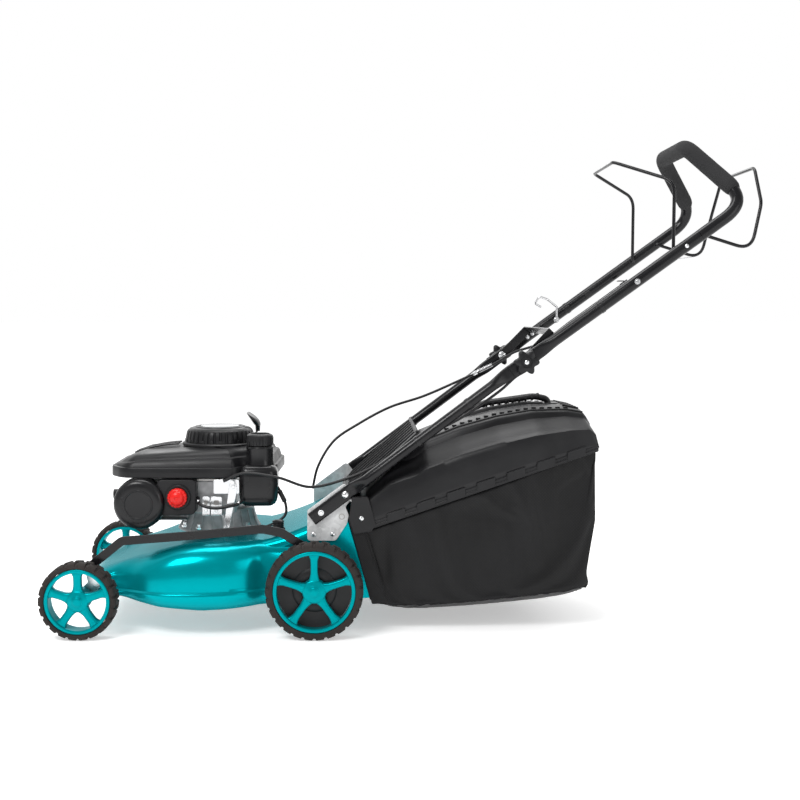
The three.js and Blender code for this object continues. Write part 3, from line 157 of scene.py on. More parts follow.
def spangled(name):
    """Galvanised sheet: pale metal whose zinc crystals differ in tone."""
    m, nodes, links, bsdf = material(name)
    where = coords(nodes, links)
    v = node(nodes, "ShaderNodeTexVoronoi", Scale=120.0)
    links.new(where, v.inputs["Vector"])
    n = node(nodes, "ShaderNodeTexNoise", Scale=60.0, Detail=6.0)
    links.new(where, n.inputs["Vector"])
    sep = nodes.new("ShaderNodeSeparateColor")
    links.new(v.outputs["Color"], sep.inputs[0])
    mix = nodes.new("ShaderNodeMath")
    mix.operation = "MULTIPLY_ADD"
    links.new(sep.outputs[0], mix.inputs[0])
    mix.inputs[1].default_value = 0.45
    links.new(n.outputs[0], mix.inputs[2])
    links.new(ramp(nodes, links, mix.outputs[0], [(0.2, (0.40, 0.405, 0.41)), (1.0, (0.66, 0.665, 0.67))]),
              bsdf.inputs["Base Color"])
    bsdf.inputs["Metallic"].default_value = 0.15
    bsdf.inputs["Roughness"].default_value = 0.42
    bumped(nodes, links, bsdf, n.outputs[0], 0.1, 0.0003)
    return m


TEAL = noisy("deck_paint", (0.0, 0.30, 0.34), (0.0, 0.315, 0.355), 0.22, 60.0, bump=0.003, rough_spread=0.015,
             metallic=0.6)
HUB = noisy("hub_plastic", (0.0, 0.255, 0.285), (0.0, 0.275, 0.305), 0.32, 120.0, bump=0.02,
            rough_spread=0.03, metallic=0.5)
for paint in (TEAL, HUB):
    # The reflection keeps the paint's own colour at a low angle.
    paint.node_tree.nodes["Principled BSDF"].inputs["Specular Tint"].default_value = (0.02, 0.5, 0.55, 1)
RUBBER = noisy("tyre", (0.013, 0.010, 0.009), (0.026, 0.021, 0.019), 0.72, 260.0, bump=0.35, patch=30.0)
PLASTIC = noisy("engine_plastic", (0.006, 0.006, 0.007), (0.011, 0.011, 0.012), 0.38, 900.0, bump=0.2,
                distance=0.0003)
GLOSS = noisy("gloss_plastic", (0.008, 0.008, 0.009), (0.014, 0.014, 0.015), 0.24, 500.0, bump=0.08)
LID = noisy("bag_plastic", (0.006, 0.006, 0.007), (0.013, 0.013, 0.014), 0.36, 700.0, bump=0.2, patch=9.0)
COAT = noisy("black_paint", (0.005, 0.005, 0.006), (0.009, 0.009, 0.010), 0.24, 200.0, bump=0.02)
FOAM = noisy("foam", (0.016, 0.016, 0.017), (0.030, 0.030, 0.031), 0.9, 700.0, bump=0.8, distance=0.0008)
SHEATH = noisy("cable_sheath", (0.010, 0.010, 0.011), (0.017, 0.017, 0.018), 0.36, 300.0, bump=0.1)
CAST = noisy("aluminium", (0.30, 0.30, 0.305), (0.50, 0.50, 0.51), 0.42, 420.0, bump=0.5, metallic=0.25,
             patch=60.0)
BOLT = noisy("zinc_steel", (0.60, 0.61, 0.62), (0.78, 0.79, 0.80), 0.26, 500.0, bump=0.1, metallic=0.95)
WIRE = noisy("bright_wire", (0.55, 0.55, 0.56), (0.72, 0.72, 0.73), 0.3, 900.0, bump=0.15, metallic=0.95)
STEEL = noisy("bare_steel", (0.22, 0.21, 0.20), (0.42, 0.41, 0.40), 0.4, 260.0, bump=0.3, metallic=0.9,
              patch=22.0)
RED = noisy("primer_red", (0.62, 0.012, 0.010), (0.75, 0.020, 0.016), 0.3, 300.0, bump=0.06)
PALE = noisy("pale_cap", (0.34, 0.35, 0.36), (0.48, 0.49, 0.50), 0.22, 500.0, bump=0.05, metallic=0.4)
FLAPGREY = noisy("flap_plastic", (0.018, 0.018, 0.019), (0.032, 0.032, 0.033), 0.5, 500.0, bump=0.3)
ZINC = spangled("galvanised")
FABRIC = weave("bag_fabric", (0.002, 0.002, 0.002), (0.008, 0.008, 0.009), 0.0022, rough=0.42, sheen=0.0)
WEBBING = weave("bag_webbing", (0.003, 0.003, 0.003), (0.012, 0.012, 0.013), 0.0016, rough=0.55, sheen=0.02)

# What the commonest pieces look like and ride with: material, body and slot.
ENGINE_LOOK = (PLASTIC, "chassis", "engine_plastic")
LID_LOOK = (LID, "bag", "bag_plastic")
CAST_LOOK = (CAST, "chassis", "aluminium")
PLATED_LOOK = (BOLT, "chassis", "zinc_steel")
HANDLE_LOOK = (COAT, "handle", "black_paint")
DECK_LOOK = (TEAL, "chassis", "deck_paint")
TANK_LOOK = (GLOSS, "chassis", "engine_plastic")
RAW_LOOK = (STEEL, "chassis", "bare_steel")
FLAP_LOOK = (FLAPGREY, "flap", "bag_plastic")


# ---------- Mesh helpers ----------
def make(name, verts, faces, mat, body, slot, smooth=True, bevel=0, segments=3, subdiv=0, thick=0, angle=35):
    me = bpy.data.meshes.new(name)
    me.from_pydata([tuple(c * MM for c in v) for v in verts], [], faces)
    me.validate()
    o = bpy.data.objects.new(name, me)
    bpy.context.scene.collection.objects.link(o)
    import bmesh
    bm = bmesh.new()
    bm.from_mesh(me)
    bmesh.ops.remove_doubles(bm, verts=bm.verts, dist=1e-6)
    bmesh.ops.recalc_face_normals(bm, faces=bm.faces)
    bm.to_mesh(me)
    bm.free()
    me.materials.append(mat)
    if thick:
        s = o.modifiers.new("thick", "SOLIDIFY")
        s.thickness, s.offset = thick * MM, -1
    if subdiv:
        s = o.modifiers.new("round", "SUBSURF")
        s.levels = s.render_levels = subdiv
    if bevel:
        b = o.modifiers.new("edges", "BEVEL")
        b.width, b.segments, b.limit_method = bevel * MM, segments, "ANGLE"
        b.angle_limit = math.radians(30)
    if smooth:
        me.shade_smooth()
        if not subdiv:
            bpy.context.view_layer.objects.active = o
            o.select_set(True)
            bpy.ops.object.shade_smooth_by_angle(angle=math.radians(angle))
            o.select_set(False)
    if body:
        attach(o, body)
    return o


def grid_faces(rows, cols, wrap_rows=False, wrap_cols=True):
    out = []
    for r in range(rows if wrap_rows else rows - 1):
        for c in range(cols if wrap_cols else cols - 1):
            a, b = r * cols + c, r * cols + (c + 1) % cols
            r2 = (r + 1) % rows
            out.append((a, b, r2 * cols + (c + 1) % cols, r2 * cols + c))
    return out


def loft(name, rings, mat, body, slot, caps=(True, True), **kw):
    n = len(rings[0])
    verts = [p for r in rings for p in r]
    faces = grid_faces(len(rings), n)
    if caps[0]:
        faces.append(tuple(range(n))[::-1])
    if caps[1]:
        faces.append(tuple((len(rings) - 1) * n + i for i in range(n)))
    return make(name, verts, faces, mat, body, slot, **kw)


def lathe(name, profile, centre, axis, mat, body, slot, n=64, closed=False, **kw):
    """profile: [radius, distance along axis]; centre: the axis' place; open ends are capped."""
    verts, rows = [], len(profile)
    for r, h in profile:
        for k in range(n):
            a = 2 * math.pi * k / n
            c, s = max(r, 0.01) * math.cos(a), max(r, 0.01) * math.sin(a)
            if axis == "Y":
                verts.append((centre[0] + c, centre[1] + h, centre[2] + s))
            elif axis == "Z":
                verts.append((centre[0] + c, centre[1] + s, centre[2] + h))
            else:
                verts.append((centre[0] + h, centre[1] + c, centre[2] + s))
    faces = grid_faces(rows, n, wrap_rows=closed)
    if not closed:
        faces += [tuple(range(n)), tuple((rows - 1) * n + i for i in range(n))]
    return make(name, verts, faces, mat, body, slot, **kw)


def plate(name, outline, y0, y1, mat, body, slot, bevel=0.6, **kw):
    """An outline in X and Z, thick from y0 to y1."""
    rings = [[(x, y, z) for x, z in outline] for y in (y0, y1)]
    return loft(name, rings, mat, body, slot, bevel=bevel, **kw)


def slab(name, outline, z0, z1, mat, body, slot, bevel=0.6, **kw):
    """An outline in X and Y, thick from z0 to z1."""
    rings = [[(x, y, z) for x, y in outline] for z in (z0, z1)]
    return loft(name, rings, mat, body, slot, bevel=bevel, **kw)


def path(points, radii, steps=8):
    """Points with rounded corners."""
    pts = [Vector(p) for p in points]
    out = [pts[0]]
    for i in range(1, len(pts) - 1):
        p, a, b = pts[i], pts[i - 1], pts[i + 1]
        back, ahead = (a - p).normalized(), (b - p).normalized()
        half = back.angle(ahead) / 2
        r = radii[i - 1] if isinstance(radii, (list, tuple)) else radii
        cut = min(r / max(math.tan(half), 1e-3), (a - p).length * 0.49, (b - p).length * 0.49)
        s, e = p + back * cut, p + ahead * cut
        for k in range(steps + 1):
            t = k / steps
            out.append(s * (1 - t) ** 2 + p * 2 * t * (1 - t) + e * t * t)
    out.append(pts[-1])
    return out


def curve(points, steps=10):
    """A smooth curve through points (Catmull-Rom)."""
    p = [Vector(q) for q in points]
    p = [p[0] * 2 - p[1]] + p + [p[-1] * 2 - p[-2]]
    out = []
    for i in range(1, len(p) - 2):
        for k in range(steps):
            t = k / steps
            a, b, c, d = p[i - 1], p[i], p[i + 1], p[i + 2]
            out.append(0.5 * ((2 * b) + (c - a) * t + (2 * a - 5 * b + 4 * c - d) * t * t
                              + (3 * b - a - 3 * c + d) * t ** 3))
    out.append(p[-2])
    return out


def tube(name, pts, radius, mat, body, slot, n=20, scale=None, **kw):
    """A round bar along points. scale(i) gives the section's half sizes at point i."""
    rings, side = [], None
    for i, p in enumerate(pts):
        t = (pts[min(i + 1, len(pts) - 1)] - pts[max(i - 1, 0)]).normalized()
        if side is None:
            side = Vector((0, 1, 0)) if abs(t.y) < 0.9 else Vector((1, 0, 0))
        side = (side - t * side.dot(t)).normalized()
        up = t.cross(side)
        a, b = scale(i) if scale else (radius, radius)
        power = 0.45 if a < b * 0.75 else 1.0
        ring = []
        for k in range(n):
            w = 2 * math.pi * (k + 0.5) / n
            cs, sn = math.cos(w), math.sin(w)
            cs = math.copysign(abs(cs) ** power, cs)
            sn = math.copysign(abs(sn) ** power, sn)
            q = p + side * a * cs + up * b * sn
            ring.append(tuple(q))
        rings.append(ring)
    return loft(name, rings, mat, body, slot, **kw)


def rounded(corners, steps=6, inset=0.0):
    """A closed outline with rounded corners; each corner is (x, y, radius)."""
    n = len(corners)
    corners = list(corners)
    area = sum(a[0] * b[1] - b[0] * a[1] for a, b in zip(corners, corners[1:] + corners[:1]))
    ways = 1 if area > 0 else -1
    out = []
    for i in range(n):
        b = Vector(corners[i][:2])
        back = (Vector(corners[i - 1][:2]) - b).normalized()
        ahead = (Vector(corners[(i + 1) % n][:2]) - b).normalized()
        half = math.acos(max(-1, min(1, back.dot(ahead)))) / 2
        inward = (back + ahead).normalized() if (back + ahead).length > 1e-6 else Vector((0, 0))
        convex = ways * (1 if ahead.x * back.y - ahead.y * back.x > 0 else -1)
        corner = b + inward * (convex * inset / math.sin(half))
        r = max((corners[i][2] if len(corners[i]) > 2 else 0) - convex * inset, 0.5)
        centre = corner + inward * (r / math.sin(half))
        s = corner + back * (r / math.tan(half)) - centre
        e = corner + ahead * (r / math.tan(half)) - centre
        turn = math.atan2(s.x * e.y - s.y * e.x, s.dot(e))
        for k in range(steps + 1):
            a = turn * k / steps
            out.append((centre.x + s.x * math.cos(a) - s.y * math.sin(a), centre.y + s.x * math.sin(a)
                        + s.y * math.cos(a)))
    return out


def rect(x0, y0, x1, y1, radius, steps):
    return rounded([(x0, y0, radius), (x1, y0, radius), (x1, y1, radius), (x0, y1, radius)], steps)


def bolt(name, x, y, z, side, body, r=9, head=6, dome=False, slot="zinc_steel", mat=None):
    """A hex or domed head whose seat is at y, facing side (-1 or 1) along Y."""
    mat = mat or BOLT
    if dome:
        prof = [(r, 0), (r, side * 1), (r * 0.9, side * head * 0.5), (r * 0.6, side * head * 0.85),
                (r * 0.2, side * head)]
        return lathe(name, prof, (x, y, z), "Y", mat, body, slot, n=24, angle=60)
    washer = [(r * 1.35, 0), (r * 1.35, side * 1.3)]
    lathe(name + "_washer", washer, (x, y, z), "Y", mat, body, slot, n=32, bevel=0.3)
    prof = [(r, side * 1.3), (r, side * head * 0.85), (r * 0.85, side * head)]
    return lathe(name, prof, (x, y, z), "Y", mat, body, slot, n=6, bevel=0.4)


def replace(nodes, piece):
    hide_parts(*nodes)


# ---------- Wheels ----------
FRONT = dict(x=-663.0, r=80.0, depth=12.0, lugs=22, hub=23.0, spoke=(11.0, 8.5, 12.5))
REAR = dict(x=-182.0, r=100.0, depth=15.0, lugs=26, hub=25.0, spoke=(10.5, 7.5, 11.5))
OUT, WIDTH = 260.0, 46.0


def tyre(name, w, side):
    """A carcass whose two rows of tread lumps are offset by half a pitch."""
    r, inner = w["r"], w["r"] - w["depth"]
    n = w["lugs"] * 12
    lo, hi = OUT - WIDTH, OUT
    prof = [(inner, lo + 3, 0), (r - 9, lo + 0.6, 0), (r - 6.0, lo + 0.5, 1), (r - 2.4, lo + 2.5, 1),
            (r - 0.4, lo + 7, 1), (r, lo + 13, 1), (r, lo + 20.5, 1), (r - 0.1, lo + 22.2, 2),
            (r - 0.1, hi - 22.2, 2), (r, hi - 20.5, 1), (r, hi - 13, 1), (r - 0.4, hi - 7, 1),
            (r - 2.4, hi - 2.5, 1), (r - 6.0, hi - 0.5, 1), (r - 9, hi - 0.6, 0), (inner, hi - 3, 0)]
    verts = []
    for i in range(n):
        a = 2 * math.pi * i / n
        for rr, y, kind in prof:
            phase = 0.0 if y < (lo + hi) / 2 else 0.5
            f = (i / 12.0 + phase) % 1.0
            ridge = 1.0 if 0.13 < f < 0.87 else 0.0
            drop = 0.0
            if kind == 1:
                drop = 3.4 * (1 - ridge)
            if kind == 2:
                drop = 3.4
            q = rr - drop
            verts.append((w["x"] + q * math.cos(a), side * y, w["r"] + q * math.sin(a)))
    faces = grid_faces(n, len(prof), wrap_rows=True)
    o = make(name, verts, faces, RUBBER, w["body"] + ("_left" if side < 0 else "_right"), "tyre", bevel=0.5,
             segments=2)
    return o


def hub(name, w, side):
    """Rim, five swelling spokes and a capped boss."""
    body = w["body"] + ("_left" if side < 0 else "_right")
    x, r = w["x"], w["r"]
    rim = r - w["depth"] - 0.6
    lo, hi = OUT - WIDTH + 5, OUT - 3
    prof = [(rim - 6.5, lo), (rim - 0.3, lo), (rim - 0.3, hi - 1.2), (rim - 1.2, hi), (rim - 4.5, hi + 0.4),
            (rim - 7.6, hi - 0.6), (rim - 8.6, hi - 3.4), (rim - 7.4, hi - 9), (rim - 7.0, lo + 2)]
    prof = [(a, side * b) for a, b in prof]
    whole = lathe(name, prof, (x, 0, r), "Y", HUB, body, "hub_plastic", n=120, closed=True, angle=50)
    top = OUT - 6.5
    bh = w["hub"]
    boss = [(0.0, top + 1.2), (bh * 0.42, top + 1.0), (bh * 0.5, top + 0.2), (bh * 0.56, top - 0.6),
            (bh * 0.8, top - 0.9), (bh * 0.95, top - 2.4), (bh, top - 6.0), (bh, OUT - WIDTH + 0.5),
            (0.0, OUT - WIDTH + 0.5)]
    lathe(name + "_boss", [(a, side * b) for a, b in boss], (x, 0, r), "Y", HUB, body, "hub_plastic", n=72,
          angle=50)
    wa, wb, wc = w["spoke"]
    for k in range(5):
        a = math.radians(90 + 72 * k)
        rings = []
        reach = rim - 5.0
        start = bh * 0.72
        for i in range(13):
            t = i / 12
            rr = start + (reach - start) * t
            hub_flare, rim_flare = max(0, 1 - t * 2.6), max(0, (t - 0.68) / 0.32)
            half = wb + (wa * 1.25 - wb) * hub_flare ** 2 + (wc * 1.3 - wb) * rim_flare ** 2
            front = top - 2.2 + 1.6 * t
            back = front - 16
            ring = []
            for m in range(20):
                u = 2 * math.pi * (m + 0.5) / 20
                cu, su = math.cos(u), math.sin(u)
                px = math.copysign(abs(cu) ** 0.55, cu) * half
                py = (front + back) / 2 + math.copysign(abs(su) ** 0.5, su) * (front - back) / 2
                ring.append((x + rr * math.cos(a) - px * math.sin(a), side * py, r + rr * math.sin(a)
                             + px * math.cos(a)))
            rings.append(ring)
        loft("%s_spoke%d" % (name, k), rings, HUB, body, "hub_plastic", angle=60)
    return whole


def centre_cap(name, w, side):
    body = w["body"] + ("_left" if side < 0 else "_right")
    top = OUT - 6.5
    prof = [(9.5, top + 0.4), (9.5, top + 2.2), (8.4, top + 3.0), (4.0, top + 3.4), (0.0, top + 3.4)]
    lathe(name, [(a, side * b) for a, b in prof], (w["x"], 0, w["r"]), "Y", HUB, body, "hub_plastic", n=40,
          angle=50)


def disc(name, w, side):
    """The dark pressed cover behind the rear wheel's spokes."""
    body = w["body"] + ("_left" if side < 0 else "_right")
    rim = w["r"] - w["depth"] - 8.5
    y = OUT - 27
    prof = [(w["hub"] - 2, y - 2), (w["hub"] - 2, y + 1), (w["hub"] + 6, y + 3), (rim * 0.55, y + 2),
            (rim * 0.6, y - 1), (rim * 0.9, y - 1), (rim, y + 2), (rim, y - 3), (w["hub"] - 2, y - 4)]
    lathe(name, [(a, side * b) for a, b in prof], (w["x"], 0, w["r"]), "Y", PLASTIC, body, "engine_plastic",
          n=72, closed=True)


FRONT["body"], REAR["body"] = "wheel_front", "wheel_rear"
for key, w in (("front", FRONT), ("rear", REAR)):
    for side, word in ((-1, "left"), (1, "right")):
        replace(["tyre_%s_%s" % (key, word)], tyre("tread_%s_%s" % (key, word), w, side))
        replace(["hub_%s_%s" % (key, word)], hub("rim_%s_%s" % (key, word), w, side))
        centre_cap("cap_%s_%s" % (key, word), w, side)
        if key == "rear":
            disc("disc_%s_%s" % (key, word), w, side)

# ---------- Height adjustment ----------
for n in ("front_axle", "rear_axle"):
    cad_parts[n].data.materials.clear()
    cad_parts[n].data.materials.append(BOLT)

CRANK_RISE = 34 * math.cos(math.radians(45))
LINK_ARM, LINK_ANGLE = 39, math.radians(102)


def link_pin(w):
    """Where the link bar's pin stands, over a wheel's cranked axle."""
    x, z = w["x"] + CRANK_RISE, w["r"] + CRANK_RISE
    return (x + LINK_ARM * math.cos(LINK_ANGLE), z + LINK_ARM * math.sin(LINK_ANGLE))


FRONT_PIN, REAR_PIN = link_pin(FRONT), link_pin(REAR)


def link_bar():
    """A flat bar, bent to clear the deck's shoulder."""
    line = [FRONT_PIN, (-579, 197), (-415, 210), (-290, 222), (-250, 214), REAR_PIN]
    pts = path([(x, 0, z) for x, z in line], [14, 40, 40, 14], 6)
    d0 = (pts[0] - pts[1]).normalized() * 9
    d1 = (pts[-1] - pts[-2]).normalized() * 9
    pts = [pts[0] + d0] + pts + [pts[-1] + d1]
    half = [4.5] + [9] * (len(pts) - 2) + [4.5]
    up, low = [], []
    for i, p in enumerate(pts):
        t = (pts[min(i + 1, len(pts) - 1)] - pts[max(i - 1, 0)]).normalized()
        nrm = Vector((-t.z, 0, t.x))
        up.append((p.x + nrm.x * half[i], p.z + nrm.z * half[i]))
        low.append((p.x - nrm.x * half[i], p.z - nrm.z * half[i]))
    o = plate("link_bar", up + low[::-1], -213.4, -209.4, COAT, "link", "black_paint", bevel=0.9)
    return o


replace(["height_link"], link_bar())
for i, (p, b) in enumerate(((FRONT_PIN, "front_crank"), (REAR_PIN, "rear_crank"))):
    lathe("link_pin_head_%d" % i, [(5.4, -213.2), (5.4, -213.9), (3.5, -214.4)], (p[0], 0, p[1]), "Y", BOLT,
          b, "zinc_steel", n=24)

# ---------- Deck ----------
DECK_SIDE = [(-172, -194.5), (-240, -194.5), (-290, -195.5), (-322, -213), (-368, -231), (-430, -237.5),
             (-492, -235), (-540, -218), (-574, -199), (-602, -192), (-636, -189), (-657, -166), (-668, -100),
             (-673, 0)]


def deck_plan():
    """The deck's outline seen from above: straight at the rear, with a smooth bulge on each side."""
    half = [(p.x, p.y) for p in curve([(x, y, 0) for x, y in DECK_SIDE], 6)]
    return half + [(x, -y) for x, y in half[-2::-1]]


def inset_plan(inset):
    """The outline drawn in from the sides, and from the front ahead of the deck's middle."""
    middle, reach, half = -420, 253, 237.5
    ahead, across = 1 - inset / reach, 1 - inset / half
    return [(middle + (x - middle) * ahead if x < middle else x, y * across) for x, y in deck_plan()]


LEVELS = [(52, 0.2), (84, 0.2), (88, 0.4), (90.5, 1.4), (92, 3.6), (94, 5.2), (100, 5.6), (122, 6.6),
          (140, 9), (152, 12.6), (162, 17.6), (170, 23.6), (176.6, 30.8), (181.6, 39), (185, 48), (187, 57.6),
          (187.8, 67)]
SKIRT = [(-760, 96), (-640, 84), (-582, 78), (-500, 65), (-415, 58), (-350, 59.5), (-283, 62), (-40, 66)]


def skirt_z(x):
    for (x0, z0), (x1, z1) in zip(SKIRT, SKIRT[1:]):
        if x <= x1:
            return z0 + (z1 - z0) * (x - x0) / (x1 - x0)
    return SKIRT[-1][1]


def deck_shell():
    rings = []
    for z, inset in LEVELS:
        ring = []
        for x, y in inset_plan(inset):
            low = skirt_z(x)
            t = max(0.0, min(1.0, (x + 668) / 260))
            rise = 0.42 + 0.58 * t * t * (3 - 2 * t)
            zz = low + (z - 52) * (90.5 - low) / (90.5 - 52) if z < 90.5 else 90.5 + (z - 90.5) * rise
            ring.append((x, y, zz))
        rings.append(ring)
    return loft("deck_skin", rings, *DECK_LOOK, caps=(False, True), thick=2.4, angle=32)


def tunnel():
    """The discharge hump: rounded across, rising to the rear, open below and behind."""
    rings = []
    for i in range(25):
        t = i / 24
        x = -312 + (-119 + 312) * t
        z = 184 + 78 * (0.55 * t * t + 0.45 * t)
        ring = []
        half = 169.5
        r = 22
        for k in range(11):
            a = math.pi - k / 10 * math.pi / 2
            ring.append((x, -(half - r) + r * math.cos(a), z - r + r * math.sin(a)))
        for k in range(11):
            a = math.pi / 2 - k / 10 * math.pi / 2
            ring.append((x, (half - r) + r * math.cos(a), z - r + r * math.sin(a)))
        bottom = 150
        ring = [(x, -half, bottom)] + ring + [(x, half, bottom)]
        rings.append(ring)
    verts = [p for r in rings for p in r]
    faces = grid_faces(len(rings), len(rings[0]), wrap_cols=False)
    o = make("tunnel_skin", verts, faces, *DECK_LOOK, thick=2.4, angle=32)
    return o


def tunnel_sides():
    for side, word in ((-1, "left"), (1, "right")):
        outline = [(-200, 150), (-200, 214), (-160, 234), (-121, 258), (-117, 240), (-67.5, 68), (-100, 66),
                   (-160, 66)]
        plate("tunnel_side_" + word, outline, side * 167.2, side * 169.6, *DECK_LOOK, bevel=0.5)
        lip = [(-119, 255), (-114.5, 256), (-62.5, 66), (-68, 64)]
        plate("tunnel_seal_" + word, lip, side * 163, side * 171.4, PLASTIC, "chassis", "bag_plastic",
              bevel=1)


deck = deck_shell()
replace(["deck_shell"], deck)
tunnel()
tunnel_sides()
# The ramp over the rear axle, inside the tunnel.
plate("tunnel_ramp", [(-230, 96), (-226, 99), (-150, 150), (-90, 148), (-89, 145.5), (-149, 147), (-226, 94)],
      -167, 167, *DECK_LOOK, bevel=0.4)

lathe("wash_collar", [(15, 198), (15, 210), (13.5, 212)], WASH, "Z", *ENGINE_LOOK, n=32)


def wash_port():
    prof = [(8, 210)]
    z = 212
    for k in range(4):
        prof += [(12.5, z), (12.5, z + 2.2), (10.2, z + 2.7), (10.2, z + 3.4)]
        z += 4
    prof += [(8.5, 227), (6, 228)]
    return lathe("wash_nozzle", prof, WASH, "Z", *ENGINE_LOOK, n=32, angle=25)


replace(["wash_port"], wash_port())

# ---------- Blade and drive: the CAD shapes, with their real finishes ----------
for n, m in (("blade", STEEL), ("blade_bolt", BOLT), ("crankshaft", STEEL), ("flywheel", CAST),
             ("gearbox", CAST), ("gearbox_pulley", PLASTIC), ("drive_belt", RUBBER),
             ("starter_pulley", PLASTIC), ("air_filter", FOAM), ("muffler", STEEL), ("engine_base", CAST),
             ("spark_plug_boot", PLASTIC)):
    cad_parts[n].data.materials.clear()
    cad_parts[n].data.materials.append(m)

# ---------- Engine ----------
SHROUD = [(-624, -92, 50), (-590, -138, 46), (-352, -138, 16), (-338, -108, 22), (-268, -84, 26),
          (-262, 110, 44), (-300, 132, 40), (-590, 132, 46), (-624, 92, 50)]


def crown(x):
    """Height of the shroud's top along its length: a low nose that swells to the dome."""
    t = max(0.0, min(1.0, (x + 624) / 150))
    return 341 + 36.5 * (1 - (1 - t) ** 2.1)


def shroud():
    rings = []
    for z, inset in ((319, 3.5), (317, 0.8), (318, 0), (326, 0), (336, 0.2), (338, 1.2), (338.6, 4.4)):
        rings.append([(x, y, z) for x, y in rounded(SHROUD, 8, inset)])
    steps = ((0.0, 6.5), (0.16, 8), (0.34, 10.5), (0.44, 13), (0.47, 18), (0.5, 20), (0.66, 23), (0.8, 28),
             (0.9, 34), (0.96, 42), (0.99, 52), (1.0, 66))
    for t, inset in steps:
        rings.append([(x, y, 338.8 + t * (crown(x) - 338.8)) for x, y in rounded(SHROUD, 8, inset)])
    return loft("shroud_skin", rings, *ENGINE_LOOK, caps=(False, True), thick=2.5, angle=28)


replace(["engine_shroud"], shroud())
# Ribs on the crown, in front of the dome.
for k, y in enumerate((-26, 0, 26)):
    line = [Vector((x, y * (1 - 0.25 * (x + 480) / -110), crown(x) + 0.2)) for x in range(-585, -486, 8)]
    tube("shroud_rib_%d" % k, line, 2, *ENGINE_LOOK, n=10, scale=lambda i: (5, 1.9))


def ribbed(name, profile, ribs, depth, centre, mat, slot, body="chassis", share=0.5, band=None, n_per=8):
    """A lathe about Z whose radius dips between ribs, inside the given height band."""
    n = ribs * n_per
    verts = []
    for r, z in profile:
        for k in range(n):
            f = (k / n_per) % 1.0
            dip = depth if (f > share and (band is None or band[0] <= z <= band[1])) else 0.0
            a = 2 * math.pi * k / n
            q = max(r - dip, 0.01)
            verts.append((centre[0] + q * math.cos(a), centre[1] + q * math.sin(a), z))
    faces = grid_faces(len(profile), n) + [tuple(range(n)),
                                           tuple((len(profile) - 1) * n + i for i in range(n))]
    return make(name, verts, faces, mat, body, slot, angle=30)


lathe("dome_seat", [(83, 375), (83, 379), (80, 381.5), (74, 382)], ENGINE_AXIS, "Z", *ENGINE_LOOK, n=96)
dome = ribbed("starter_dome", [(76, 379), (76.5, 381), (75.5, 392), (73.5, 402), (71, 407), (66, 411),
                               (58, 413.2), (50, 414), (47, 413)], 36, 3.2, (-400, 0), PLASTIC,
              "engine_plastic", band=(380, 405))
replace(["recoil_housing"], dome)
lathe("dome_crown", [(56, 412.6), (55, 414.8), (47, 415), (46, 413.6), (43.5, 413.6), (43, 415)], ENGINE_AXIS,
      "Z", *ENGINE_LOOK, n=72)
lathe("dome_badge", [(43, 413), (43, 415.6), (41, 416.8), (20, 417.6), (0, 417.8)], ENGINE_AXIS, "Z", PALE,
      "chassis", "engine_plastic", n=64)
for k in range(24):
    a = 2 * math.pi * (k + 0.5) / 24
    c, s = math.cos(a), math.sin(a)
    rings = []
    for q in (74.5, 77.2):
        rings.append([(-400 + q * c - u * s, q * s + u * c, z) for u,
                      z in ((-3, 382.5), (3, 382.5), (3, 388), (-3, 388))])
    loft("dome_vent_%02d" % k, rings, SHEATH, "chassis", "engine_plastic", bevel=0.3)


def grip_fin():
    """The pull grip: a curved fin on a short stem."""
    rings = []
    for t, x, a, b in ((0, -321, 5, 5), (0.18, -321, 5.4, 6), (0.3, -321, 6, 12), (0.42, -323, 8.2, 22),
                       (0.6, -327, 8.6, 29), (0.78, -333, 7.2, 30), (0.92, -339, 4.6, 28),
                       (1.0, -343, 2.2, 24)):
        z = 398 + 42 * t
        rings.append([(x + a * math.cos(2 * math.pi * k / 28), 52 + b * math.sin(2 * math.pi * k / 28), z)
                      for k in range(28)])
    return loft("pull_handle", rings, GLOSS, "pull_grip", "engine_plastic", angle=60)


replace(["starter_grip"], grip_fin())
lathe("rope_eye", [(5.5, 0), (6.5, 2), (6, 5), (4, 6)], (-338, 48, 390), "X", *ENGINE_LOOK, n=24)
rope = tube("pull_rope", curve([(-392, 40, 389.3), (-352, 48, 389.3), (-336, 50, 391), (-325, 51.5, 395),
                                (-321, 52, 400)], 8), 1.7, WEBBING, None, "cable_sheath", n=12)
replace(["starter_rope"], rope)
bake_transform(rope)

# Fuel tank, neck and cap
tank_plan = [(-347, -134, 18), (-263.5, -131, 22), (-266, -44, 16), (-347, -44, 16)]
tank = loft("tank_body", [[(x, y, z) for x, y in rounded(tank_plan, 7, i)] for z,
                          i in ((253, 22), (254.5, 13), (259, 6), (266, 2), (276, 0.6), (300, 0),
                                (318, 0.5))], *TANK_LOOK, angle=50)
replace(["fuel_tank"], tank)
lathe("tank_neck", [(29.5, 330), (29, 345), (28.2, 372), (27, 377), (26, 380)], NECK, "Z", *ENGINE_LOOK, n=56)
neck_plan = [(-347, -134, 18), (-263.5, -131, 22), (-266, -60, 16), (-347, -60, 16)]
loft("tank_shoulder", [[(x, y, z) for x, y in rounded(neck_plan, 7, i)] for z,
                       i in ((318, 0.4), (328, 1.5), (336, 5), (341, 12))], *TANK_LOOK, angle=50)
lathe("tank_collar", [(31.5, 338), (30.6, 343), (29.4, 350), (29.4, 374), (30, 376), (29, 379)], NECK, "Z",
      *TANK_LOOK, n=56)
cap = ribbed("cap_body", [(26, 381), (28.2, 382.2), (29, 385), (29, 398), (27.6, 403), (24, 405.6), (17, 406),
                          (15, 404.6), (4, 404.6)], 26, 1.3, (-304, -88), PLASTIC, "engine_plastic",
             body="cap", band=(384, 400))
replace(["fuel_cap"], cap)
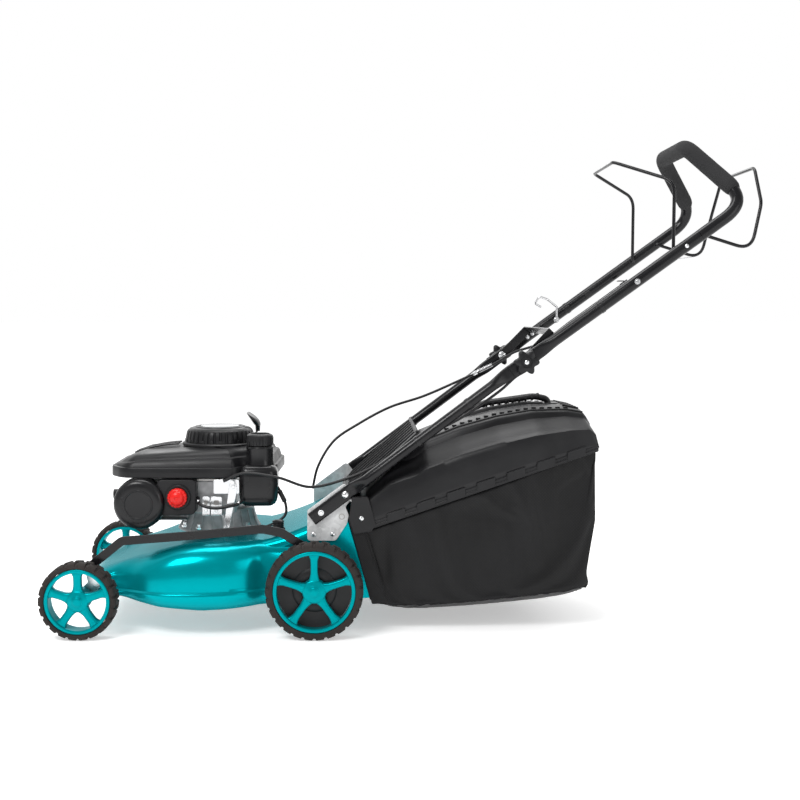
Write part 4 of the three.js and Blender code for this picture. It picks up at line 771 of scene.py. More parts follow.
tube("cap_bar", [Vector((-324, -88, 405)), Vector((-316, -88, 406)), Vector((-292, -88, 406)),
                 Vector((-284, -88, 405))], 3, PLASTIC, "cap", "engine_plastic", n=14)

# Air filter cover, facing left
fx, fz = -556, 262
cover = lathe("filter_cover", [(46, -103), (53.6, -103), (54, -108), (54, -140), (52.6, -145), (49, -149),
                               (44.5, -151.6), (38, -152.6), (31.6, -152.6), (30.6, -153.6), (28.6, -153.6),
                               (27.6, -152.4), (10, -151.8), (0, -151.8)], (fx, 0, fz), "Y", *TANK_LOOK, n=96,
              angle=30)
replace(["air_filter_cover"], cover)
lathe("filter_band", [(54.2, -112), (54.8, -113), (54.8, -117), (54.2, -118)], (fx, 0, fz), "Y", *ENGINE_LOOK,
      n=96)
box_a = rounded([(-512, 236, 10), (-437, 238, 12), (-436, 313, 8), (-520, 313, 10)], 6)
carb = plate("carb_cover", box_a, -137, -101, *ENGINE_LOOK, bevel=2.2, segments=4)
replace(["carburettor"], carb)
lathe("filter_back", [(50, -98), (53, -98), (53, -102), (50, -102)], (fx, 0, fz), "Y", *ENGINE_LOOK, n=72)
plate("carb_body", rect(-520, 244, -456, 300, 6, 4), -102, -66, *CAST_LOOK, bevel=1.5)
lathe("primer_seat", [(27, -136), (27, -140.5), (25.5, -142), (21.5, -142), (21.2, -139)], (-474, 0, 276),
      "Y", *ENGINE_LOOK, n=56)


def primer():
    """A red bulb with a scalloped skirt."""
    n, prof = 144, [(20, -140, 0), (20.2, -145, 1), (20.4, -150.5, 1), (18.8, -152.6, 1), (16.4, -153, 0),
                    (15.6, -154, 0), (14.6, -158, 0), (11.6, -161, 0), (7, -162.6, 0), (4.2, -162.9, 0),
                    (3.6, -162, 0), (0.01, -161.8, 0)]
    verts = []
    for r, y, on in prof:
        for k in range(n):
            a = 2 * math.pi * k / n
            q = r + on * 0.7 * math.cos(18 * a)
            verts.append((-474 + q * math.cos(a), y, 276 + q * math.sin(a)))
    return make("primer_dome", verts, grid_faces(len(prof), n)
                + [tuple((len(prof) - 1) * n + i for i in range(n))], RED, "primer", "primer_red", angle=45)


replace(["primer_bulb"], primer())

# Castings, fins and brackets seen between shroud and deck
base_rings = []
for z, r in ((188.5, 92), (192, 92), (196, 89), (206, 84), (222, 79), (236, 76), (240, 70)):
    base_rings.append([(-402 + r * math.cos(a), 0.94 * r * math.sin(a), z)
                       for a in [2 * math.pi * k / 64 for k in range(64)]])
base = loft("crankcase", base_rings, *CAST_LOOK, angle=40)
replace(["engine_base"], base)
for k in range(10):
    a = math.radians(200 + 16 * k)
    c, s = math.cos(a), math.sin(a)
    prof = [(70, 192), (93, 192), (86, 206), (80, 232), (70, 236)]
    rings = [[(-402 + q * c - u * s, 0.94 * (q * s + u * c), z) for q, z in prof] for u in (-1.6, 1.6)]
    loft("crankcase_rib_%d" % k, rings, *CAST_LOOK, bevel=0.5)
for k, a in enumerate((215, 245, 285, 320)):
    a = math.radians(a)
    lathe("base_bolt_%d" % k, [(8.5, 196), (8.5, 201), (5.5, 201), (5.5, 207)],
          (-402 + 86 * math.cos(a), 80 * math.sin(a), 0), "Z", *PLATED_LOOK, n=6, bevel=0.5)
slab("block", rect(-462, -104, -356, 60, 8, 5), 236, 310, *CAST_LOOK, bevel=2.5)
slab("cylinder", rect(-572, -40, -455, 40, 10, 5), 214, 300, *CAST_LOOK, bevel=2)
for k in range(9):
    slab("fin_%d" % k, rect(-586, -58, -468, 58, 8, 4), 213 + 10.5 * k, 215 + 10.5 * k, *CAST_LOOK, bevel=0.4)
plate("block_face", rect(-461, 246, -400, 305, 4, 4), -106.5, -103.5, *CAST_LOOK, bevel=0.8)
plate("block_gasket", rect(-463, 306, -356, 311, 2, 3), -107, -100, *RAW_LOOK, bevel=0.5)
for k, (x, z) in enumerate(((-452, 290), (-408, 258))):
    bolt("block_bolt_%d" % k, x, -106.5, z, -1, "chassis", r=4.5, head=4)
# The cable bracket: an upright with slotted lugs, as folded sheet.
arm = plate("bracket_arm", rect(-398, 284, -344, 314, 3, 4), -142, -139, *PLATED_LOOK, bevel=0.5)
replace(["cable_bracket"], arm)
for k, x in enumerate((-416, -394)):
    w = (8, 12)[k]
    plate("bracket_lug_%d" % k, rounded([(x - w, 236, 3), (x + w, 236, 3), (x + w, 276, 4), (x - w, 276, 4)],
                                        4), -128, -125.5, *PLATED_LOOK, bevel=0.5)
    plate("bracket_slot_%d" % k, rect(x - w * 0.45, 258, x + w * 0.45, 268, 2, 3), -128.6, -127.8, *RAW_LOOK,
          bevel=0.2)
    bolt("lug_bolt_%d" % k, x, -128, 246, -1, "chassis", r=3.2, head=3)
    slab("bracket_foot_%d" % k, rect(x - w, -128, x + w, -80, 2, 3), 235.4, 238, *PLATED_LOOK, bevel=0.4)
lever = plate("stop_lever", rounded([(-364, 306, 6), (-350, 310, 6), (-348, 292, 5), (-366, 208, 5),
                                     (-378, 206, 5)], 6), -145.4, -142.4, BOLT, "brake", "zinc_steel",
              bevel=0.7)
replace(["brake_lever"], lever)
bolt("lever_pin", -356, -145.4, 300, -1, "chassis", r=4.6, head=4)
lathe("lever_stud", [(3, -140), (3, -151), (4.4, -151), (4.4, -154)], (-357, 0, 309), "Y", BOLT, "brake",
      "zinc_steel", n=16)
spring = []
for k in range(160):
    a = 2 * math.pi * k / 12
    t = k / 159
    spring.append(Vector((-371 - 8 * t + 2.6 * math.cos(a), -147.5 + 2.6 * math.sin(a), 212 + 28 * t)))
tube("lever_spring", spring, 0.6, WIRE, "brake", "zinc_steel", n=6)
hose = tube("fuel_line", curve([(-336, -134.5, 268), (-352, -152, 262), (-392, -156, 256), (-424, -150, 262),
                                (-433, -128, 274)], 12), 3.5, GLOSS, "chassis", "cable_sheath", n=16)
replace(["fuel_hose"], hose)
for k, p in enumerate(((-345, -146, 264.6), (-430, -140, 267.5))):
    lathe("hose_clip_%d" % k, [(4.3, -2), (4.8, 0), (4.3, 2)], p, "X", WIRE, "chassis", "zinc_steel", n=20)
# Muffler guard on the right, and the exhaust's slots
for k in range(6):
    slab("guard_bar_%d" % k, rounded([(-546, 58, 6), (-436, 58, 6), (-436, 128, 16), (-546, 128, 16)], 5), 232
         + 12 * k, 235 + 12 * k, *RAW_LOOK, bevel=0.5)
lathe("dipstick_cap", [(12, 238), (13, 240), (13, 250), (11, 253), (0, 253.5)], DIPSTICK, "Z", *ENGINE_LOOK,
      n=32)
lathe("dipstick_tube", [(10, 200), (10, 238)], DIPSTICK, "Z", *ENGINE_LOOK, n=24)

# ---------- Handle ----------
LOWER_BOLT, PIVOT, BEND = (-170.0, 250.5), (248.0, 565.0), (697.0, 890.0)
LOWER_ANGLE = math.atan2(PIVOT[1] - LOWER_BOLT[1], PIVOT[0] - LOWER_BOLT[0])
UPPER_ANGLE = math.atan2(BEND[1] - PIVOT[1], BEND[0] - PIVOT[0])
LOWER_SPAN = math.hypot(PIVOT[0] - LOWER_BOLT[0], PIVOT[1] - LOWER_BOLT[1])
UPPER_SPAN = math.hypot(BEND[0] - PIVOT[0], BEND[1] - PIVOT[1])


def along(origin, angle, s, y, lift=0.0):
    return Vector((origin[0] + s * math.cos(angle) - lift * math.sin(angle), y, origin[1]
                   + s * math.sin(angle) + lift * math.cos(angle)))


def lower(s, y, lift=0.0):
    return along(LOWER_BOLT, LOWER_ANGLE, s, y, lift)


def upper(s, y, lift=0.0):
    return along(PIVOT, UPPER_ANGLE, s, y, lift)


def shaped_tube(name, where, stations, mat, body, slot, n=24):
    """A round tube with flattened lengths; stations are (distance, y, half thickness, half width)."""
    rings = []
    for (s0, y0, a0, b0), (s1, y1, a1, b1) in zip(stations, stations[1:]):
        for k in range(8):
            t = k / 8
            e = t * t * (3 - 2 * t)
            rings.append((s0 + (s1 - s0) * t, y0 + (y1 - y0) * e, a0 + (a1 - a0) * e, b0 + (b1 - b0) * e))
    rings.append(stations[-1])
    made = []
    for s, y, a, b in rings:
        flat = max(0.0, min(1.0, (b / a - 1) / 1.5))
        power = 1.0 - 0.55 * flat
        ring = []
        for k in range(n):
            w = 2 * math.pi * (k + 0.5) / n
            c, d = math.cos(w), math.sin(w)
            c, d = math.copysign(abs(c) ** power, c), math.copysign(abs(d) ** power, d)
            p = where(s, y + a * c, b * d)
            ring.append(tuple(p))
        made.append(ring)
    return loft(name, made, mat, body, slot, angle=50)


for side, word in ((-1, "left"), (1, "right")):
    outline = rounded([(-199, 190, 6), (-140, 190, 10), (-116, 226, 12), (-112, 244, 10), (-120, 262, 10),
                       (-100, 284, 8), (-121, 312, 8), (-199, 254, 6)], 6)
    bracket = plate("bracket_" + word, outline, side * 170.3, side * 173.3, ZINC, "chassis", "zinc_steel",
                    bevel=0.7)
    replace(["handle_bracket_" + word], bracket)
    foot2 = lower(63, 0)
    bolt("foot_bolt_a_" + word, LOWER_BOLT[0], side * 182.9, LOWER_BOLT[1], side, "chassis", r=4.6, head=4)
    bolt("foot_bolt_b_" + word, foot2.x, side * 182.9, foot2.z, side, "chassis", r=8, head=6, dome=True)
    for k, (x, z) in enumerate(((-186, 204), (-146, 204))):
        bolt("bracket_rivet_%s_%d" % (word, k), x, side * 173.3, z, side, "chassis", r=5.5, head=3.6,
             dome=True)
    lathe("bracket_hole_" + word, [(6.4, side * 173.2), (6.4, side * 173.7), (4.6, side * 173.7),
                                   (4.4, side * 171)], (-127, 0, 241), "Y", *RAW_LOOK, n=28, closed=True)
    leg = shaped_tube("lower_tube_" + word, lower, [(-24, side * 178.1, 4.5, 14), (76, side * 178.1, 4.5, 14),
                                                    (120, side * 195, 11, 11),
                                                    (LOWER_SPAN - 86, side * 195, 11, 11),
                                                    (LOWER_SPAN - 42, side * 190.35, 4.5, 14),
                                                    (LOWER_SPAN + 27, side * 190.35, 4.5, 14)], COAT,
                      "chassis", "black_paint")
    replace(["lower_handle_" + word], leg)
    fold = lathe("fold_bolt_skin_" + word, [(8, side * 177.6), (9, side * 178.6), (9, side * 181.8),
                                            (4, side * 182.3), (4, side * 213)], (PIVOT[0], 0, PIVOT[1]), "Y",
                 *PLATED_LOOK, n=24, angle=50)
    replace(["fold_bolt_" + word], fold)

# The upper handle: two flattened feet, straight legs, arms leaning in and a crossbar.
LOOP = [upper(UPPER_SPAN - 119, -195), Vector((BEND[0], -195, BEND[1])), Vector((597, -95, 1012)),
        Vector((597, 95, 1012)), Vector((BEND[0], 195, BEND[1])), upper(UPPER_SPAN - 119, 195)]
loop = path(LOOP, [60, 42, 42, 60], 12)
top = tube("upper_loop", loop, 12.5, *HANDLE_LOOK, n=28, angle=60)
replace(["upper_handle"], top)
for side, word in ((-1, "left"), (1, "right")):
    shaped_tube("upper_leg_" + word, upper, [(-34, side * 199.65, 4.5, 14), (34, side * 199.65, 4.5, 14),
                                             (78, side * 195, 12.5, 12.5),
                                             (UPPER_SPAN - 118, side * 195, 12.5, 12.5)], *HANDLE_LOOK, n=28)
# Foam grip, with a rounded lip at each end and a little unevenness along it.
foam_line = [p for p in path(LOOP, [60, 42, 42, 60], 16) if abs(p.y) < 177]
dense = []
for a, b in zip(foam_line, foam_line[1:]):
    steps = max(1, int((b - a).length / 5))
    dense += [a.lerp(b, k / steps) for k in range(steps)]
dense.append(foam_line[-1])
count = len(dense)


def foam_size(i):
    edge = min(i, count - 1 - i)
    r = 17.0 - (3.6 if edge == 0 else 1.2 if edge == 1 else 0.3 if edge == 2 else 0)
    r += 0.25 * noise.noise(Vector((i * 0.35, 3, 1)))
    return (r, r)


foam = tube("foam_sleeve", dense, 17, FOAM, "handle", "foam", n=40, scale=foam_size, angle=70)
replace(["grip_foam"], foam)

# Cross brace: two straps joined by a bar.
bx, bz = PIVOT
d = Vector((307 - bx, 627 - bz)).normalized()
reach = math.hypot(307 - bx, 627 - bz)


def brace_ring(s, y, side):
    w = 10
    out = []
    for k, yy in ((-w, y - 3), (w, y - 3), (w, y), (-w, y)):
        out.append((bx + d.x * s - d.y * k, side * yy, bz + d.y * s + d.x * k))
    return out


for side, word in ((-1, "left"), (1, "right")):
    strap = loft("brace_strap_" + word, [brace_ring(s, y, side) for s,
                                         y in ((-14, 185.55), (10, 185.55), (16, 185.55),
                                               (reach - 22, 180.55), (reach, 180.55))], *HANDLE_LOOK,
                 bevel=0.8)
    if side < 0:
        replace(["cross_brace"], strap)
cross = [(bx + d.x * s - d.y * k, bz + d.y * s + d.x * k) for s, k in ((reach - 3, -10), (reach, -10),
         (reach, 10), (reach - 3, 10))]
plate("brace_bar", cross, -180.4, 180.4, *HANDLE_LOOK, bevel=0.7)


# Star knobs, with a deep scallop between lobes.
def knob(word, side, body):
    rings = []
    n = 120
    for scale, y, depth in ((0.5, 212.4, 0), (0.84, 212.6, 0.6), (0.96, 214.4, 0.9), (1.0, 217.5, 1),
                            (1.0, 223.5, 1), (0.95, 227, 0.95), (0.82, 228.9, 0.8), (0.5, 229, 0.2),
                            (0.46, 227.4, 0), (0.02, 227.2, 0)):
        ring = []
        for k in range(n):
            a = 2 * math.pi * k / n
            lobe = (0.5 + 0.5 * math.cos(6 * a)) ** 0.6
            r = (18.8 + 7.8 * lobe ** 1.6) if depth > 0.5 else 22.5
            r *= scale
            ring.append((PIVOT[0] + r * math.cos(a), side * y, PIVOT[1] + r * math.sin(a)))
        rings.append(ring)
    o = loft("star_" + word, rings, PLASTIC, body, "engine_plastic", angle=45)
    bolt("star_bolt_" + word, PIVOT[0], side * 227.2, PIVOT[1], side, body, r=4.4, head=2.4, dome=True)
    lathe("star_neck_" + word, [(13, side * 204.6), (13, side * 213)], (PIVOT[0], 0, PIVOT[1]), "Y", PLASTIC,
          body, "engine_plastic", n=36)
    return o


replace(["knob_left"], knob("left", -1, "knob_l"))
replace(["knob_right"], knob("right", 1, "knob_r"))

# Small bolts through the tubes, and the far tube's slots for the lower fold positions; the slots are dark
# plugs, painted shade inside the holes
for k, s in enumerate((278, 400)):
    for side, word in ((-1, "left"), (1, "right")):
        p = upper(s, side * 206.5)
        if k == 0 or side < 0:
            bolt("tube_bolt_%d_%s" % (k, word), p.x, p.y, p.z, side, "handle", r=4.4, head=3.6, dome=k == 1)
# Each slot is a solid dark capsule on the tube: painted shade where the hole is.
for k in range(3):
    a, b = upper(120 + 60 * k, 181.8), upper(136 + 60 * k, 181.8)
    tube("tube_slot_shade_%d" % k, [a, b], 4, SHEATH, "handle", "black_paint", n=16, scale=lambda i: (1.4, 5))
for k, s in enumerate((74, 88)):
    p = upper(s, 0)
    bolt("fold_rivet_%d" % k, p.x, 182.8, p.z, -1, "handle", r=4.6, head=3.4, dome=True)

# ---------- Bails ----------
def both(half):
    """A half line and its mirror image, as one line."""
    return [Vector(p) for p in half] + [Vector((p[0], -p[1], p[2])) for p in reversed(half)]


stop_line = path(both([(552.3, 199, 785.3), (552.3, 178, 785.3), (552, 178, 933), (443, 100, 981)]),
                 [6, 36, 24, 24, 36, 6], 10)
stop = tube("stop_rod", stop_line, 3.5, COAT, "stop", "black_paint", n=16, angle=60)
replace(["stop_bail"], stop)
drive_line = path(both([(608.2, 199, 825.7), (608.2, 177, 825.7), (712, 177, 793), (733, 170, 889),
                        (737, 110, 968)]), [6, 30, 40, 30, 30, 40, 30, 6], 10)
drive = tube("drive_rod", drive_line, 3.5, COAT, "drive", "black_paint", n=16, angle=60)
replace(["drive_bail"], drive)
for side in (-1, 1):
    for k, (x, z, body) in enumerate(((552.3, 785.3, "stop"), (608.2, 825.7, "drive"))):
        lathe("bail_bush_%d_%d" % (k, side), [(7, side * 182.9), (7, side * 181.2), (4.2, side * 180.4)],
              (x, 0, z), "Y", GLOSS, "handle", "engine_plastic", n=24)

# ---------- Rope guide ----------
gx, gz = upper(158, 0).x, upper(158, 0).z
guide = tube("guide_wire", path([(gx, 179.5, gz - 16), (gx, 179.5, gz + 22), (gx - 24, 174.5, gz + 40),
                                 (gx - 44, 164.5, gz + 46), (gx - 54, 172.5, gz + 30),
                                 (gx - 38, 178.5, gz + 22)], [6, 8, 8, 8], 8), 2.6, WIRE, "handle",
             "zinc_steel", n=14, angle=60)
replace(["rope_guide"], guide)
bolt("guide_nut", gx, 182.8, gz - 8, -1, "handle", r=5, head=4)


def held_cable(name, points, r, mat, n=14):
    o = tube(name, curve(points, 12), r, mat, None, "cable_sheath", n=n, angle=60)
    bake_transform(o)
    return o


def sheath_on_upper(side, a, b, lift, n=4):
    return [tuple(upper(a + (b - a) * k / (n - 1), side, lift)) for k in range(n)]


brake = held_cable("brake_cable", [(-376, -150, 312), (-330, -156, 330), (-260, -166, 322), (-193, -164, 302),
                                   (-120, -160, 318), (-58, -163, 346), (30, -163, 400), (119, -166, 446),
                                   (196, -170, 500), (232, -171, 532), (262, -171, 552)]
                   + sheath_on_upper(-170, 80, 300, -8), 3.0, SHEATH)
replace(["brake_cable_lower", "brake_cable_upper"], brake)
drive_cable = held_cable("drive_cable", [(-200, 118, 256), (-186, 128, 310), (-150, 140, 366),
                                         (-94, 150, 404), (-20, 158, 443), (62, 162, 470), (145, 165, 506),
                                         (200, 167, 532), (232, 167, 548), (275, 167, 573)]
                         + sheath_on_upper(163, 90, 330, -28), 3.0, SHEATH)
replace(["drive_cable_lower", "drive_cable_upper"], drive_cable)


def end_wire(name, points):
    """The bare wire between a sheath's end and its bail."""
    o = tube(name, curve(points, 10), 0.9, WIRE, None, "zinc_steel", n=8, angle=60)
    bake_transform(o)
    return o


a = upper(300, -170, -8)
end_wire("brake_wire", [a, (520, -172, 757), (548, -175, 782), (552, -177, 800)])
b = upper(330, 163, -28)
end_wire("drive_wire", [b, (580, 168, 766), (640, 173, 788), (700, 177, 797)])
for name, p, q, body in (("brake_ferrule", upper(288, -170, -8), upper(306, -170, -8), "handle"),
                         ("drive_ferrule", upper(318, 163, -28), upper(338, 163, -28), "handle")):
    tube(name, [p, q], 4.3, GLOSS, body, "cable_sheath", n=18)
# Sheath brackets: a small bent strip holds each sheath's end to its tube.
for name, p, y0, y1 in (("brake_stop", upper(297, 0, -6), -183, -166),
                        ("drive_stop", upper(326, 0, -20), 160, 184)):
    slab(name, rounded([(p.x - 7, y0, 2), (p.x + 7, y0, 2), (p.x + 7, y1, 3), (p.x - 7, y1, 3)], 4),
         p.z - 1.2, p.z + 1.2, *HANDLE_LOOK, bevel=0.4)
# Straps round the tubes
for k, (where, s, side, body, r) in enumerate(((lower, 250, -1, "chassis", 11),
                                               (lower, 380, -1, "chassis", 11),
                                               (lower, 260, 1, "chassis", 11),
                                               (upper, 190, -1, "handle", 12.5),
                                               (upper, 190, 1, "handle", 12.5))):
    p, q = where(s - 4, side * 195), where(s + 4, side * 195)
    tube("tie_%d" % k, [p, q], r + 1.0, GLOSS, body, "cable_sheath", n=28, bevel=0.4)
# The adjuster and its spring, part way along the drive cable
p, q = Vector((172, 166, 519)), Vector((226, 167, 545))
tube("adjuster_rod", [p, q], 2.6, *PLATED_LOOK, n=16)
tube("adjuster_nut", [p.lerp(q, 0.1), p.lerp(q, 0.28)], 4.8, *PLATED_LOOK, n=6, bevel=0.3)
coil = []
axis = (q - p).normalized()
u = axis.cross(Vector((0, 1, 0))).normalized()
v = axis.cross(u)
for k in range(200):
    t = 0.34 + 0.6 * k / 199
    w = 2 * math.pi * k / 11
    coil.append(p.lerp(q, t) + u * 4 * math.cos(w) + v * 4 * math.sin(w))
tube("adjuster_spring", coil, 0.8, WIRE, "chassis", "zinc_steel", n=6)
# The ignition lead down the engine's rear
tube("stop_lead", curve([(-266, -96, 292), (-252, -104, 268), (-247, -112, 240), (-262, -116, 222),
                         (-300, -112, 206), (-352, -98, 200)], 12), 3.0, SHEATH, "chassis", "cable_sheath",
     n=14)
tube("lead_boot", [Vector((-262, -98, 284)), Vector((-250, -106, 262))], 5, SHEATH, "chassis", "cable_sheath",
     n=16, bevel=0.8)

# ---------- Grass bag ----------
FLANGE = ((-94.0, 213.0), (406.0, 386.0))
CROWN = [(-94, 213), (-91, 240), (-84, 270), (-66, 297), (-34, 326), (14, 368), (46, 402), (120, 432),
         (200, 454), (275, 466), (350, 466), (388, 458), (403, 428), (406, 386)]


def flange_z(x):
    (x0, z0), (x1, z1) = FLANGE
    return z0 + (x - x0) * (z1 - z0) / (x1 - x0)


def crown_z(x):
    for (x0, z0), (x1, z1) in zip(CROWN, CROWN[1:]):
        if x <= x1:
            t = (x - x0) / (x1 - x0)
            return z0 + (z1 - z0) * t
    return CROWN[-1][1]


def lid():
    """A moulded lid: a raised crown between two shoulders, over a straight flange."""
    xs = [-94 + 500 * (i / 74) for i in range(75)]
    sections = [(187, 0.02), (186.6, 0.14), (185, 0.34), (183.4, 0.48), (181, 0.555), (176, 0.585),
                (166, 0.62), (150, 0.69), (136, 0.745), (124, 0.785), (119, 0.80), (116, 0.86), (113, 0.905),
                (106, 0.93), (84, 0.965), (60, 0.99), (40, 1.0), (36, 0.985), (33, 0.93), (30, 0.915),
                (14, 0.91), (0, 0.91)]
    sections = sections + [(-y, k) for y, k in sections[-2::-1]]
    rings = []
    for y, k in sections:
        ring = []
        for x in xs:
            low = flange_z(x) + 2
            full = crown_z(x) - low
            # The middle is sunk for the fingers only under the carrying handle.
            sunk = 1.0 if 150 < x < 330 else max(0.0, 1 - min(abs(x - 150), abs(x - 330)) / 14)
            z = low + full * (k if abs(y) > 38 else 1.0 - (1.0 - k) * sunk)
            if x < 30 and abs(y) > 100:
                z = low + full * min(k * (1 + 0.35 * min(1, (30 - x) / 60)), 1.0)
            ring.append((x, y, z))
        rings.append(ring)
    verts = [p for r in rings for p in r]
    return make("lid_shell", verts, grid_faces(len(rings), len(xs), wrap_cols=False), *LID_LOOK, thick=2.5,
                angle=38)


replace(["bag_lid"], lid())
for side, word in ((-1, "left"), (1, "right")):
    y0, y1 = side * 183.4, side * 187.6
    line = [(-60, flange_z(-60) + 8), (404, flange_z(404) + 8), (404, flange_z(404) - 6),
            (-60, flange_z(-60) - 6)]
    plate("lid_flange_" + word, line, y0, y1, *LID_LOOK, bevel=1.2)
    lip = [(-58, flange_z(-58) + 1.5), (402, flange_z(402) + 1.5), (402, flange_z(402) - 3),
           (-58, flange_z(-58) - 3)]
    plate("lid_lip_" + word, lip, side * 184, side * 189.6, *LID_LOOK, bevel=1.2)
    # Clips hold the fabric's edge: tabs with a gap between.
    for k in range(7):
        x = -14 + 62 * k
        tab = rounded([(x - 19, flange_z(x - 19) + 15, 2), (x + 19, flange_z(x + 19) + 15, 2),
                       (x + 19, flange_z(x + 19) - 5, 3), (x - 19, flange_z(x - 19) - 5, 3)], 5)
        plate("lid_tab_%s_%d" % (word, k), tab, side * 184.2, side * 190.4, *LID_LOOK, bevel=1.3)
# Moulded ribs across the shoulders and along the crown
for side in (-1, 1):
    rail = []
    for i in range(40):
        x = 40 + 345 * i / 39
        low = flange_z(x) + 2
        rail.append(Vector((x, side * 104, low + (crown_z(x) - low) * 0.933 + 0.8)))
    tube("crown_rail_%d" % side, rail, 2, *LID_LOOK, n=12, scale=lambda i: (2.6, 2))
for side in (-1, 1):
    for k in range(16):
        x = 96 + 17 * k
        low = flange_z(x) + 2
        z = low + (crown_z(x) - low) * 0.955
        slab("crown_dash_%d_%d" % (k, side), [(x - 5, side * 92 - 1.5), (x + 5, side * 92 - 1.5),
                                              (x + 5, side * 92 + 1.5), (x - 5, side * 92 + 1.5)], z - 1, z
             + 3.2, *LID_LOOK, bevel=0.8)
for k in range(5):
    y = -60 + 30 * k
    line = [Vector((x, y, crown_z(x) + 0.6)) for x in [350 + 2.6 * i for i in range(14)]]
    tube("crown_rear_rib_%d" % k, line, 1.6, *LID_LOOK, n=10, scale=lambda i: (3.4, 1.8))
# Recessed carrying handle on the crown
carry = path([(143, 0, 430), (154, 0, 452), (190, 0, 466), (296, 0, 481), (326, 0, 475), (331, 0, 455)],
             [10, 18, 60, 14, 8], 8)
tube("carry_handle", carry, 11, *LID_LOOK, n=24, scale=lambda i: (12, 7), angle=50)
for k in range(10):
    t = 0.14 + 0.72 * k / 9
    x = 176 + 130 * k / 9
    z = 462.0 + (x - 176) * 0.142
    tube("carry_rib_%d" % k, [Vector((x - 2, 0, z - 0.3)), Vector((x + 2, 0, z + 0.3))], 8, *LID_LOOK, n=24,
         scale=lambda i: (12.8, 7.9), bevel=0.5)
for k, (x, z) in enumerate(((140, 434), (334, 461))):
    slab("carry_pad_%d" % k, rect(x - 16, -22, x + 16, 22, 8, 6), z - 6, z + 6, *LID_LOOK, bevel=2)

# Frame hoop and the hooks that sit on the bracket's step
hoop = tube("bag_hoop", path([(-98, -174, 222), (-46, -174, 62), (-46, 174, 62), (-98, 174, 222)], [16, 16],
                             10), 5, COAT, "bag", "black_paint", n=16, angle=60)
replace(["bag_frame"], hoop)
for side, word in ((-1, "left"), (1, "right")):
    hook = rounded([(-103, 206, 3), (-66, 212, 3), (-55, 226, 4), (-72, 284, 4), (-106, 284, 4),
                    (-112, 238, 6)], 5)
    plate("hook_" + word, hook, side * 176, side * 189.5, PLASTIC, "bag", "bag_plastic", bevel=1.5)
    bolt("hook_bolt_" + word, -86, side * 189.5, 240, side, "bag", r=5.4, head=3.6, dome=True)
    strip = rounded([(-104, 206, 2), (-74, 210, 2), (-28, 60, 4), (-64, 58, 3)], 4)
    plate("front_strip_" + word, strip, side * 181.4, side * 184.2, WEBBING, "bag", "bag_fabric", bevel=0.9)
    seam_line = [Vector((-77 + 47 * t, side * 184.4, 205 - 141 * t)) for t in [i / 12 for i in range(13)]]
    tube("strip_seam_" + word, seam_line, 1.4, WEBBING, "bag", "bag_fabric", n=10)


# The fabric: an open box cut from panels, which then hangs from its edges under its own weight.
UNDER = [(-60, 59), (-16, 54), (40, 55), (150, 64), (340, 84), (384, 94), (391, 104), (384, 126), (388, 150),
         (401, 236), (398, 374)]


def resample(points, count):
    pts = [Vector((x, z)) for x, z in points]
    lens = [0.0]
    for a, b in zip(pts, pts[1:]):
        lens.append(lens[-1] + (b - a).length)
    out = []
    for k in range(count):
        s = lens[-1] * k / (count - 1)
        i = max(j for j in range(len(lens)) if lens[j] <= s + 1e-9)
        i = min(i, len(pts) - 2)
        out.append(pts[i].lerp(pts[i + 1], (s - lens[i]) / (lens[i + 1] - lens[i])))
    return out


HALF = 181.0
LENGTHS = 90     # cells along the underside and up the rear wall
DEEP = 34        # cells from the flange down to that line
ACROSS = 48      # cells over the underside


def folds(t, s):
    """How far the side panel stands out: diagonal folds beside a hollow, none at the held edges."""
    edge = (max(0.0, math.sin(math.pi * t)) * max(0.0, math.sin(math.pi * s))) ** 0.6
    long_fold = 11 * math.exp(-((s - 0.12 - 1.3 * (t - 0.18)) / 0.17) ** 2)
    short_fold = 8 * math.exp(-((s - 0.4 - 1.9 * (t - 0.7)) / 0.14) ** 2)
    front_fold = 5 * math.exp(-((t - 0.07 - 0.05 * s) / 0.03) ** 2)
    hollow = -6 * math.exp(-((s - 0.2 - 0.9 * (t - 0.5)) / 0.2) ** 2)
    return edge * (long_fold + short_fold + front_fold + hollow)


def bag_cloth():
    low = resample(UNDER, LENGTHS + 1)
    high = resample([(-101, 208), (-62, 217), (398, flange_z(398) - 3)], LENGTHS + 1)
    verts, top, faces = [], [], []
    index = {}

    def vertex(p):
        key = (round(p[0], 3), round(p[1], 3), round(p[2], 3))
        if key not in index:
            index[key] = len(verts)
            verts.append(p)
        return index[key]

    held = set()
    grids = []
    for side in (-1, 1):
        g = []
        for i in range(LENGTHS + 1):
            t = i / LENGTHS
            col = []
            for j in range(DEEP + 1):
                s = j / DEEP
                a, b = high[i], low[i]
                p = a.lerp(b, s)
                bulge = folds(t, s)
                col.append((p.x, side * (HALF + bulge - 3.0 * max(0, s - 0.97) / 0.03), p.y))
            g.append(col)
        grids.append(g)
    for side, g in zip((-1, 1), grids):
        ids = [[vertex(p) for p in col] for col in g]
        for i in range(LENGTHS):
            for j in range(DEEP):
                q = [ids[i][j], ids[i + 1][j], ids[i + 1][j + 1], ids[i][j + 1]]
                q = list(dict.fromkeys(q))
                if len(q) > 2:
                    faces.append(tuple(q))
        held.update(ids[i][0] for i in range(LENGTHS + 1))
        held.update(ids[0])
        held.update(ids[LENGTHS])
    strip = []
    for i in range(LENGTHS + 1):
        row = []
        for k in range(ACROSS + 1):
            y = -(HALF - 3) + 2 * (HALF - 3) * k / ACROSS
            arch = 10 * math.sin(math.pi * k / ACROSS) * max(0.0, math.sin(math.pi * i / LENGTHS)) ** 0.5
            row.append(vertex((low[i].x, y, low[i].y + arch)))
        strip.append(row)
    for i in range(LENGTHS):
        for k in range(ACROSS):
            faces.append((strip[i][k], strip[i][k + 1], strip[i + 1][k + 1], strip[i + 1][k]))
    held.update(strip[0])
    held.update(strip[LENGTHS])
    return verts, faces, held


